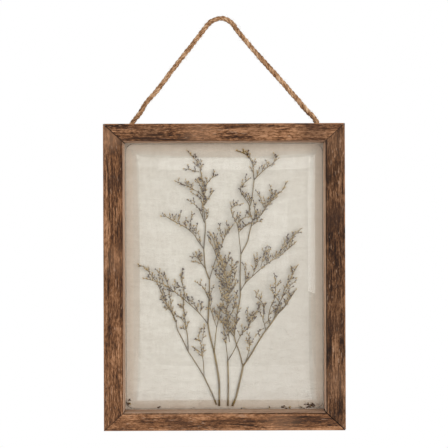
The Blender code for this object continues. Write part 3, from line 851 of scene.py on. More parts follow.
RAIL_WOODS = {
    "rail_top": weathered_wood(
        "top rail wood", False, 0.80, 0.8, 1, 0.4, 0.085,
        [(112, 183, 34, 0.55), (-92, 176, 24, 0.5), (40, 186, 26, 0.35), (-30, 178, 30, -0.3)]),
    "rail_bottom": weathered_wood(
        "bottom rail wood", False, 0.9, 0.8, 2, 0.75, 0.115, [(-60, -180, 24, 0.3), (70, -184, 30, -0.25)]),
    "rail_left": weathered_wood(
        "left rail wood", True, 0.76, 0.9, 3, 0.25, 0.12,
        [(-138, 118, 17, 0.45), (-142, 172, 20, -0.4), (-138, -40, 20, 0.25), (-138, 20, 24, -0.2)]),
    "rail_right": weathered_wood(
        "right rail wood", True, 0.46, 1.15, 4, 0.95, 0.10,
        [(138, 74, 24, 0.6), (138, -60, 18, 0.4), (138, 165, 24, -0.15), (140, -130, 26, -0.2)]),
}
for name, mesh in rail_meshes.items():
    finish_piece(name + "_wood", mesh, [RAIL_WOODS[name]], [name], 50)

# %% [markdown]
# ## The domed glass
# The pane is one thin sheet of clear glass, pressed up into a low flat-topped dome with soft sides and
# rounded corners. What shows of it is mostly reflection: a soft veil over the flat top that ends where the
# sides turn away. So the shape matters more than the material. The dome is a grid whose lines crowd near
# the foot, where the glass turns quickly.

# %% The pane
RIM_COVERED = 5.5 * MM
PANE_HALF_WIDTH = OPENING_HALF_WIDTH + RIM_COVERED
PANE_HALF_HEIGHT = OPENING_HALF_HEIGHT + RIM_COVERED
GLASS_FRONT_Y = -12.7 * MM
GLASS_THICKNESS = 2 * MM
DOME_MARGIN = 1 * MM
DOME_HALF_WIDTH = OPENING_HALF_WIDTH - DOME_MARGIN
DOME_HALF_HEIGHT = OPENING_HALF_HEIGHT - DOME_MARGIN
DOME_RISE = 12 * MM
DOME_STEP = 1.6 * MM
DOME_FLATNESS = 10
FOOT_CORNER = 11 * MM
FOOT_WIDTH = 1.5 * MM


def dome_height(x, z):
    """Rise of the glass above its rim: a small step round the foot and a flat-topped swelling."""
    from_side = abs(x) - (DOME_HALF_WIDTH - FOOT_CORNER)
    from_end = abs(z) - (DOME_HALF_HEIGHT - FOOT_CORNER)
    past = math.hypot(max(from_side, 0), max(from_end, 0)) + min(max(from_side, from_end), 0)
    inside = min(max((FOOT_CORNER - past) / FOOT_WIDTH, 0), 1)
    step = DOME_STEP * inside * inside * (3 - 2 * inside)
    across = min(abs(x) / DOME_HALF_WIDTH, 1)
    up = min(abs(z) / DOME_HALF_HEIGHT, 1)
    return step + (DOME_RISE - DOME_STEP) * (1 - across ** DOME_FLATNESS) * (1 - up ** DOME_FLATNESS)


def crowded_places(count, dome_half, pane_half):
    """Grid lines: the rim's edge, then lines that crowd near the foot of the dome."""
    steps = np.linspace(-1, 1, count - 1)
    inner = dome_half * np.sign(steps) * (1 - (1 - np.abs(steps)) ** 1.8)
    return [-pane_half, *inner, pane_half]


GLASS_COLUMNS = 96
GLASS_ROWS = 112
glass_x = crowded_places(GLASS_COLUMNS, DOME_HALF_WIDTH, PANE_HALF_WIDTH)
glass_z = crowded_places(GLASS_ROWS, DOME_HALF_HEIGHT, PANE_HALF_HEIGHT)
glass_bm = bmesh.new()
bmesh.ops.create_grid(glass_bm, x_segments=GLASS_COLUMNS, y_segments=GLASS_ROWS, size=1)
for vert in glass_bm.verts:
    x = glass_x[round((vert.co.x + 1) / 2 * GLASS_COLUMNS)]
    z = glass_z[round((vert.co.y + 1) / 2 * GLASS_ROWS)]
    vert.co = Vector((x, GLASS_FRONT_Y - dome_height(x, z), FRAME_CENTRE_Z + z))
grown = bmesh.ops.extrude_face_region(glass_bm, geom=list(glass_bm.faces))["geom"]
back_verts = [item for item in grown if isinstance(item, bmesh.types.BMVert)]
bmesh.ops.translate(glass_bm, vec=(0, GLASS_THICKNESS, 0), verts=back_verts)
print("glass faces:", len(glass_bm.faces))

# %% [markdown]
# ## Clear glass
# Plain glass: full transmission, an index of refraction of 1.5 and a polished surface that was never quite
# flat, so the edges of its reflections waver. Any roughness would blur the sprigs behind it. Shadows and
# diffuse light pass it as if it were not there, which keeps the paper behind it clean.

# %% Glass material
glass, tree, shader, place = new_material("clear domed glass", 0.0)
shader.inputs["Base Color"].default_value = (0.97, 0.985, 0.97, 1)
shader.inputs["Transmission Weight"].default_value = 1
shader.inputs["IOR"].default_value = 1.5
shader.inputs["Specular IOR Level"].default_value = 0.5
waves = clouds(tree, stretched(tree, place, (24, 24, 24)), 1.0, 0.0)
raise_surface(tree, shader, waves, 0.3, 0.8 * MM)
rays = tree.nodes.new("ShaderNodeLightPath").outputs
clear = tree.nodes.new("ShaderNodeBsdfTransparent").outputs[0]
for_shadow = mixed_shaders(tree, rays["Is Shadow Ray"], shader.outputs[0], clear)
for_diffuse = mixed_shaders(tree, rays["Is Diffuse Ray"], for_shadow, clear)
tree.links.new(for_diffuse, tree.nodes["Material Output"].inputs["Surface"])
finish_piece("domed_glass_pane", glass_bm, [glass], ["domed_glass"], 75)

# %% [markdown]
# ## A dark line in the corners of the glass
# The foot of the dome turns each corner in a small quarter round, and there the steep glass shows a thin
# dark
# line. It is painted shade: a thin dark tube in every corner of the opening, fading out at both ends.

# %% The creases
CREASE_RADIUS = FOOT_CORNER + 0.35 * MM
CREASE_POINTS = 30
# Each crease: its side and end of the frame, the angles it runs between and its thickness in millimetres.
CREASES = {"top_left": (-1, 1, 98, 168, 0.34), "top_right": (1, 1, 8, 48, 0.34),
           "bottom_left": (-1, -1, 192, 252, 0.42), "bottom_right": (1, -1, 278, 335, 0.3)}
# Painted shade: dark tubes just in front of the glass stand in for the dark line at the dome's corner foot.
crease_shade_line, tree, shader, place = new_material("crease shade line", 0.95, 0.1)
shade_line_mottle = mottled(tree, place, 1.2, 1.0)
shade_line_tone = coloured(tree, shade_line_mottle["Tone"], (0.3, (0.02, 0.015, 0.012)), (0.7, (0.09, 0.075, 0.06)))
paint(tree, shader, shade_line_tone)
for name, (right, up, start, end, thickness) in CREASES.items():
    centre_x = right * (DOME_HALF_WIDTH - FOOT_CORNER)
    centre_z = FRAME_CENTRE_Z + up * (DOME_HALF_HEIGHT - FOOT_CORNER)
    turns = np.radians(np.linspace(start, end, CREASE_POINTS))
    arc = np.array([(centre_x + CREASE_RADIUS * math.cos(turn), GLASS_FRONT_Y - thickness * MM,
                     centre_z + CREASE_RADIUS * math.sin(turn)) for turn in turns])
    grit = np.array([0.8 + 0.4 * noise.noise(Vector((i * 0.7, start, 0.5))) for i in range(len(arc))])
    swell = np.sin(np.linspace(0.08, math.pi - 0.08, len(arc))) ** 0.6
    crease_bm = bmesh.new()
    add_wrapped(crease_bm, round_surface(arc, thickness * MM * grit * swell, 6))
    finish_piece("shade_line_" + name, crease_bm, [crease_shade_line], (), 60)
print("shaded corners:", len(CREASES))

# %% [markdown]
# ## The paper
# The sheet is handmade paper, soft and uneven, with long plant fibres in it. It has browned towards the
# frame. A bowed border that ends in a soft step is darker than the paper inside it: partly browning, partly
# painted light, for the paper inside the step is lighter where the dome's flat top shows the soft box, a
# painted reflection. Towards the foot and the right the paper is darker, a painted shade. The sheet is a
# grid that swells a little, and two values stored on it, toned and shade, say how brown and how shaded each
# part is. The fibres are real hairs pressed into it.

# %% The sheet
SHEET_FRONT_Y = -10.4 * MM
SHEET_BACK_Y = -9.4 * MM
SHEET_STEP = 2.6 * MM
TONED_WIDTH = 17 * MM
SIDE_TONES = {"left": 0.35, "right": 0.1, "bottom": 0.6, "top": 0.45}
sheet_columns = round(2 * PANE_HALF_WIDTH / SHEET_STEP)
sheet_rows = round(2 * PANE_HALF_HEIGHT / SHEET_STEP)
sheet_bm = bmesh.new()
bmesh.ops.create_grid(sheet_bm, x_segments=sheet_columns, y_segments=sheet_rows, size=1)
edge_layer = sheet_bm.verts.layers.float.new("toned")
shade_layer = sheet_bm.verts.layers.float.new("shade")
for vert in sheet_bm.verts:
    x = vert.co.x * PANE_HALF_WIDTH
    z = vert.co.y * PANE_HALF_HEIGHT
    swell = 0.5 + 0.5 * noise.noise(Vector((x / (22 * MM), z / (13 * MM), 2.5)))
    wobble = 5 * MM * noise.noise(Vector((x / (18 * MM), z / (18 * MM), 9)))
    to_sides = {"left": OPENING_HALF_WIDTH + x, "right": OPENING_HALF_WIDTH - x,
                "bottom": OPENING_HALF_HEIGHT + z, "top": OPENING_HALF_HEIGHT - z}
    vert[edge_layer] = max(
        SIDE_TONES[side] * min(max(1 - (reach + wobble) / TONED_WIDTH, 0), 1)
        for side, reach in to_sides.items())
    # Painted shade, stored as shade: darker towards the right, most of all low on the right, and towards the
    # foot.
    to_right = min(max((x / OPENING_HALF_WIDTH + 0.1) / 0.9, 0), 1)
    to_foot = min(max((-z / OPENING_HALF_HEIGHT - 0.35) / 0.6, 0), 1)
    low_right = 0.35 + 0.65 * min(max(0.6 - z / OPENING_HALF_HEIGHT, 0), 1)
    vert[shade_layer] = min(to_right * low_right + 0.55 * to_foot, 1)
    vert.co = Vector((x, SHEET_FRONT_Y + 0.5 * MM * swell, FRAME_CENTRE_Z + z))
grown = bmesh.ops.extrude_face_region(sheet_bm, geom=list(sheet_bm.faces))["geom"]
for item in grown:
    if isinstance(item, bmesh.types.BMVert):
        item.co.y = SHEET_BACK_Y
print("sheet faces:", len(sheet_bm.faces))

# %% Handmade paper material
# Widths of the darker border. Its bowed step follows the edge of the soft box's reflection on the dome:
# partly browning, partly painted light.
BORDER = {"left": 18.5 * MM, "right": 16.5 * MM, "top": 18 * MM, "foot": 12 * MM}
BORDER_BOW_X = 6 * MM
BORDER_BOW_Z = 5 * MM
paper, tree, shader, place = new_material("handmade paper", 0.95, 0.1)
flat_fibres = streaked(tree, place, (150, 400, 700), 0.35)
cross_fibres = streaked(tree, place, (500, 400, 120), 0.35, (3, 1, 2))
paper_mottle = mottled(tree, place, 16.0, 0.25)
fibre_tone = weighed(tree, (flat_fibres["Tone"], 0.6), (cross_fibres["Tone"], 0.4))
pale = coloured(tree, faded(tree, fibre_tone, 0.4, 0.6),
                (0.0, (0.60, 0.55, 0.475)), (0.5, (0.665, 0.615, 0.54)), (1.0, (0.72, 0.675, 0.60)))
brown = coloured(tree, faded(tree, fibre_tone, 0.38, 0.62),
                 (0.0, (0.47, 0.365, 0.275)), (0.5, (0.57, 0.455, 0.36)), (1.0, (0.66, 0.55, 0.45)))
spot_xyz = add_node(tree, "ShaderNodeSeparateXYZ", {"Vector": place})
spot_x = spot_xyz.outputs["X"]
spot_z = maths(tree, "SUBTRACT", spot_xyz.outputs["Z"], FRAME_CENTRE_Z)
bow_x = product(tree, product(tree, spot_x, spot_x), BORDER_BOW_X / OPENING_HALF_WIDTH ** 2)
bow_z = product(tree, product(tree, spot_z, spot_z), BORDER_BOW_Z / OPENING_HALF_HEIGHT ** 2)
past_left = maths(tree, "ADD", maths(tree, "ADD", spot_x, OPENING_HALF_WIDTH - BORDER["left"]), bow_z)
past_right = maths(tree, "ADD", maths(tree, "SUBTRACT", OPENING_HALF_WIDTH - BORDER["right"], spot_x), bow_z)
past_top = maths(tree, "ADD", maths(tree, "SUBTRACT", OPENING_HALF_HEIGHT - BORDER["top"], spot_z), bow_x)
past_foot = maths(tree, "ADD", spot_z, OPENING_HALF_HEIGHT - BORDER["foot"])
nearest_side = maths(tree, "MINIMUM", maths(tree, "MINIMUM", past_left, past_right),
                     maths(tree, "MINIMUM", past_top, past_foot))
# One in the border. The border is darker partly from browning and partly from painted shade, and the lighter
# paper inside stands for part of the soft box's reflection.
border_brown_and_shade = faded(tree, nearest_side, 0.6 * MM, -0.9 * MM)
toned = mixed(tree, faded(tree, own_value(tree, "toned"), 0.0, 0.9), pale, brown)
toned = mixed(tree, product(tree, border_brown_and_shade, 0.42), toned, (0.55, 0.44, 0.35))
clouded = mixed(tree, faded(tree, paper_mottle["Tone"], 0.35, 0.68, 0.16, 0.0), toned, (0.50, 0.43, 0.35))
# Painted shade towards the lower right, weaker in the border.
window_shade = product(tree, own_value(tree, "shade"), faded(tree, border_brown_and_shade, 0.0, 1.0, 0.42, 0.12))
shaded = mixed(tree, window_shade, clouded, (0.47, 0.42, 0.37))
spotted = mixed(tree, product(tree, paper_mottle["Spots"], 0.5), shaded, (0.45, 0.36, 0.27))
paint(tree, shader, spotted)
raise_surface(tree, shader, fibre_tone, 1.0, 2.2 * MM)
finish_piece("paper_sheet", sheet_bm, [paper], ["mount_sheet"], 60)

# %% Fibres pressed into the paper
paper_hair, tree, shader, place = new_material("paper fibres", 0.95, 0.1)
hair_shade = coloured(tree, own_value(tree, "tone"), (0.0, (0.44, 0.35, 0.25)), (0.6, (0.6, 0.53, 0.44)),
                      (1.0, (0.76, 0.72, 0.65)))
hair_clouds = mottled(tree, place, 4.0, 0.3)
hair_shade = mixed(tree, product(tree, hair_clouds["Tone"], 0.4), hair_shade, (0.6, 0.53, 0.45))
paint(tree, shader, hair_shade)
PAPER_FIBRES = 340
random.seed(23)
paper_places = []
for _ in range(PAPER_FIBRES):
    x = random.uniform(-1, 1) * (OPENING_HALF_WIDTH - 2 * MM)
    z = random.uniform(-1, 1) * (OPENING_HALF_HEIGHT - 2 * MM)
    if random.random() < 0.5:
        z = -OPENING_HALF_HEIGHT + random.uniform(2, 24) * MM
    angle = random.gauss(0, 0.5) if random.random() < 0.7 else random.uniform(0, 3.14)
    way = Vector((math.cos(angle), 0, math.sin(angle)))
    root = Vector((x, SHEET_FRONT_Y + 0.12 * MM, FRAME_CENTRE_Z + z))
    length = random.uniform(5, 15) * MM
    paper_places.append(aimed(root, way, math.radians(90) * random.choice((-0.95, 0.95)), length, 0.9))
paper_tones = [random.random() for _ in paper_places]
paper_fibre_mesh = joined_mesh("paper_fibres", stamped(HAIR, paper_places, paper_tones))
for vert in paper_fibre_mesh.vertices:
    vert.co.y = min(max(vert.co.y, SHEET_FRONT_Y - 0.1 * MM), SHEET_FRONT_Y + 0.3 * MM)
finish_piece("paper_fibres", paper_fibre_mesh, [paper_hair])

# %% [markdown]
# ## The board and the framer's points
# A brown hardboard closes the back. Its smooth side faces the paper and its back shows the mesh it was
# pressed on. Six flat steel points, driven into the rabbet, hold it. Both are plain slabs, so they are
# made as boxes with bevelled edges, and the points are drawn in to a tip where they enter the wood.

# %% Backing board
def ease_edges(bm, width):
    """Take all edges off with a small rounded bevel."""
    bmesh.ops.bevel(bm, geom=list(bm.edges), offset=width, offset_type="OFFSET", segments=2, profile=0.5,
                    affect="EDGES", material=-1)


BOARD_THICKNESS = 3 * MM
BOARD_Y = -7.6 * MM
board_bm = bmesh.new()
board_size = Matrix.Diagonal((2 * PANE_HALF_WIDTH, BOARD_THICKNESS, 2 * PANE_HALF_HEIGHT, 1))
board_place = Matrix.Translation((0, BOARD_Y, FRAME_CENTRE_Z))
bmesh.ops.create_cube(board_bm, size=1, matrix=board_place @ board_size)
ease_edges(board_bm, 0.5 * MM)
board, tree, shader, place = new_material("brown hardboard", 0.8, 0.3)
board_mottle = mottled(tree, place, 2.6, 1.0)
board_fibres = streaked(tree, place, (900, 400, 600), 0.3)
board_tone = weighed(tree, (board_mottle["Tone"], 0.5), (board_fibres["Tone"], 0.5))
board_colour = coloured(tree, faded(tree, board_tone, 0.4, 0.62), (0.0, (0.15, 0.085, 0.045)),
                        (0.5, (0.25, 0.155, 0.09)), (1.0, (0.36, 0.24, 0.15)))
board_colour = mixed(tree, board_mottle["Spots"], board_colour, (0.12, 0.07, 0.04))
paint(tree, shader, board_colour)
mesh_marks = add_node(tree, "ShaderNodeTexVoronoi", {"Vector": place, "Scale": 620.0})
raise_surface(tree, shader, mesh_marks.outputs["Distance"], 0.5, 0.6 * MM)
finish_piece("hardboard_back", board_bm, [board], ["back_board"], 30)

# %% Framer's points
steel, tree, shader, place = new_material("tarnished steel", 0.35)
shader.inputs["Metallic"].default_value = 1
steel_mottle = mottled(tree, place, 3.0, 0.8)
steel_colour = coloured(tree, steel_mottle["Tone"], (0.3, (0.34, 0.33, 0.32)), (0.7, (0.6, 0.59, 0.57)))
steel_colour = mixed(tree, steel_mottle["Spots"], steel_colour, (0.25, 0.15, 0.09))
paint(tree, shader, steel_colour)
tree.links.new(faded(tree, steel_mottle["Tone"], 0.3, 0.7, 0.28, 0.5), shader.inputs["Roughness"])
WALL_X = OPENING_HALF_WIDTH + LIP_WIDTH
WALL_Z = OPENING_HALF_HEIGHT + LIP_WIDTH
POINT_Y = -5.4 * MM
POINT_SIZE = (14 * MM, 0.8 * MM, 10 * MM)
POINT_OFFSET = -2 * MM
POINT_PLACES = {
    "point_top": ((0, WALL_Z), 90), "point_bottom": ((0, -WALL_Z), -90),
    "point_upper_left": ((-WALL_X, 90 * MM), 180), "point_lower_left": ((-WALL_X, -90 * MM), 180),
    "point_upper_right": ((WALL_X, 90 * MM), 0), "point_lower_right": ((WALL_X, -90 * MM), 0),
}
for name, ((x, z), angle) in POINT_PLACES.items():
    point_bm = bmesh.new()
    stretch = Matrix.Diagonal((*POINT_SIZE, 1))
    bmesh.ops.create_cube(point_bm, size=1, matrix=Matrix.Translation((POINT_OFFSET, 0, 0)) @ stretch)
    for vert in point_bm.verts:
        if vert.co.x > 0:
            vert.co.z *= 0.3
    along = [edge for edge in point_bm.edges if abs(edge.verts[0].co.x - edge.verts[1].co.x) > 5 * MM]
    bmesh.ops.subdivide_edges(point_bm, edges=along, cuts=2, use_grid_fill=True)
    for vert in point_bm.verts:
        if -5 * MM < vert.co.x < -3 * MM:
            vert.co.z *= 1.35
    ease_edges(point_bm, 0.15 * MM)
    into_wood = Matrix.Rotation(-math.radians(angle), 4, "Y")
    place_matrix = Matrix.Translation((x, POINT_Y, FRAME_CENTRE_Z + z)) @ into_wood
    bmesh.ops.transform(point_bm, matrix=place_matrix, verts=point_bm.verts)
    finish_piece(name + "_tab", point_bm, [steel], [name], 30)

# %% [markdown]
# ## How the sprigs grow
# Sea lavender has wiry stems that fork and fork again, and its side branches carry the florets on their
# upper side. Every stem starts exactly where it forks from the one below, and each branch leaves its stem
# at the stem's depth and rises to its own layer, because the sprigs lie over each other under the glass.
# The lines are drawn in millimetres across and up from the foot of the bunch.

# %% The stems' lines
# Each stem: the layer it leaves, its own layer, its radii at foot and top in millimetres, and its line.
BUNCH_FOOT_Z = -492.8 * MM
LAYER_FIRST = 1.4 * MM
LAYER_PITCH = 2.9 * MM
STEMS = {
    "sprig_a_stem": (0, 0, 0.68, 0.6, [(-10.5, 4), (-17, 20), (-26, 39)]),
    "sprig_a_upper_stem": (0, 0, 0.55, 0.45, [(-26, 39), (-35, 54), (-46, 71)]),
    "sprig_b_stem": (0, 0, 1.0, 0.9, [(-7, 2.5), (-7, 29), (-9, 46), (-13, 69)]),
    "sprig_b_middle_stem": (0, 0, 0.9, 0.8, [(-13, 69), (-18, 89), (-21, 106)]),
    "sprig_b_upper_stem": (0, 0, 0.8, 0.72, [(-21, 106), (-20, 128), (-19, 144), (-19, 162)]),
    "sprig_b_high_stem": (0, 0, 0.72, 0.58, [(-19, 162), (-24, 177), (-26, 201)]),
    "sprig_c_stem": (0, 1, 0.6, 0.5, [(-13, 69), (-12, 85), (-10, 102)]),
    "sprig_d_stem": (0, 0, 0.85, 0.72, [(4, 2.5), (4.5, 30), (4, 59)]),
    "sprig_e_stem": (0, 0, 1.05, 0.9, [(9.5, 2.5), (14, 13), (18, 29), (22, 46), (23, 52)]),
    "sprig_e_left_stem": (0, 0, 0.7, 0.6, [(23, 52), (19, 69), (15, 80), (12, 90)]),
    "sprig_e_right_stem": (0, 0, 0.85, 0.6, [(23, 52), (32, 65), (39, 77), (49, 93), (58, 105), (68, 119)]),
    "sprig_f_stem": (0, 0, 0.65, 0.6, [(12, 90), (13, 97), (15, 113), (20, 139), (20, 147)]),
    "sprig_f_middle_stem": (0, 0, 0.6, 0.55, [(20, 147), (20, 171), (21, 194)]),
    "sprig_f_upper_stem": (0, 0, 0.55, 0.5, [(21, 194), (29, 209), (31, 217), (36, 237)]),
    "sprig_f_high_stem": (0, 0, 0.5, 0.45, [(36, 237), (32, 251), (35, 263), (38, 288)]),
}

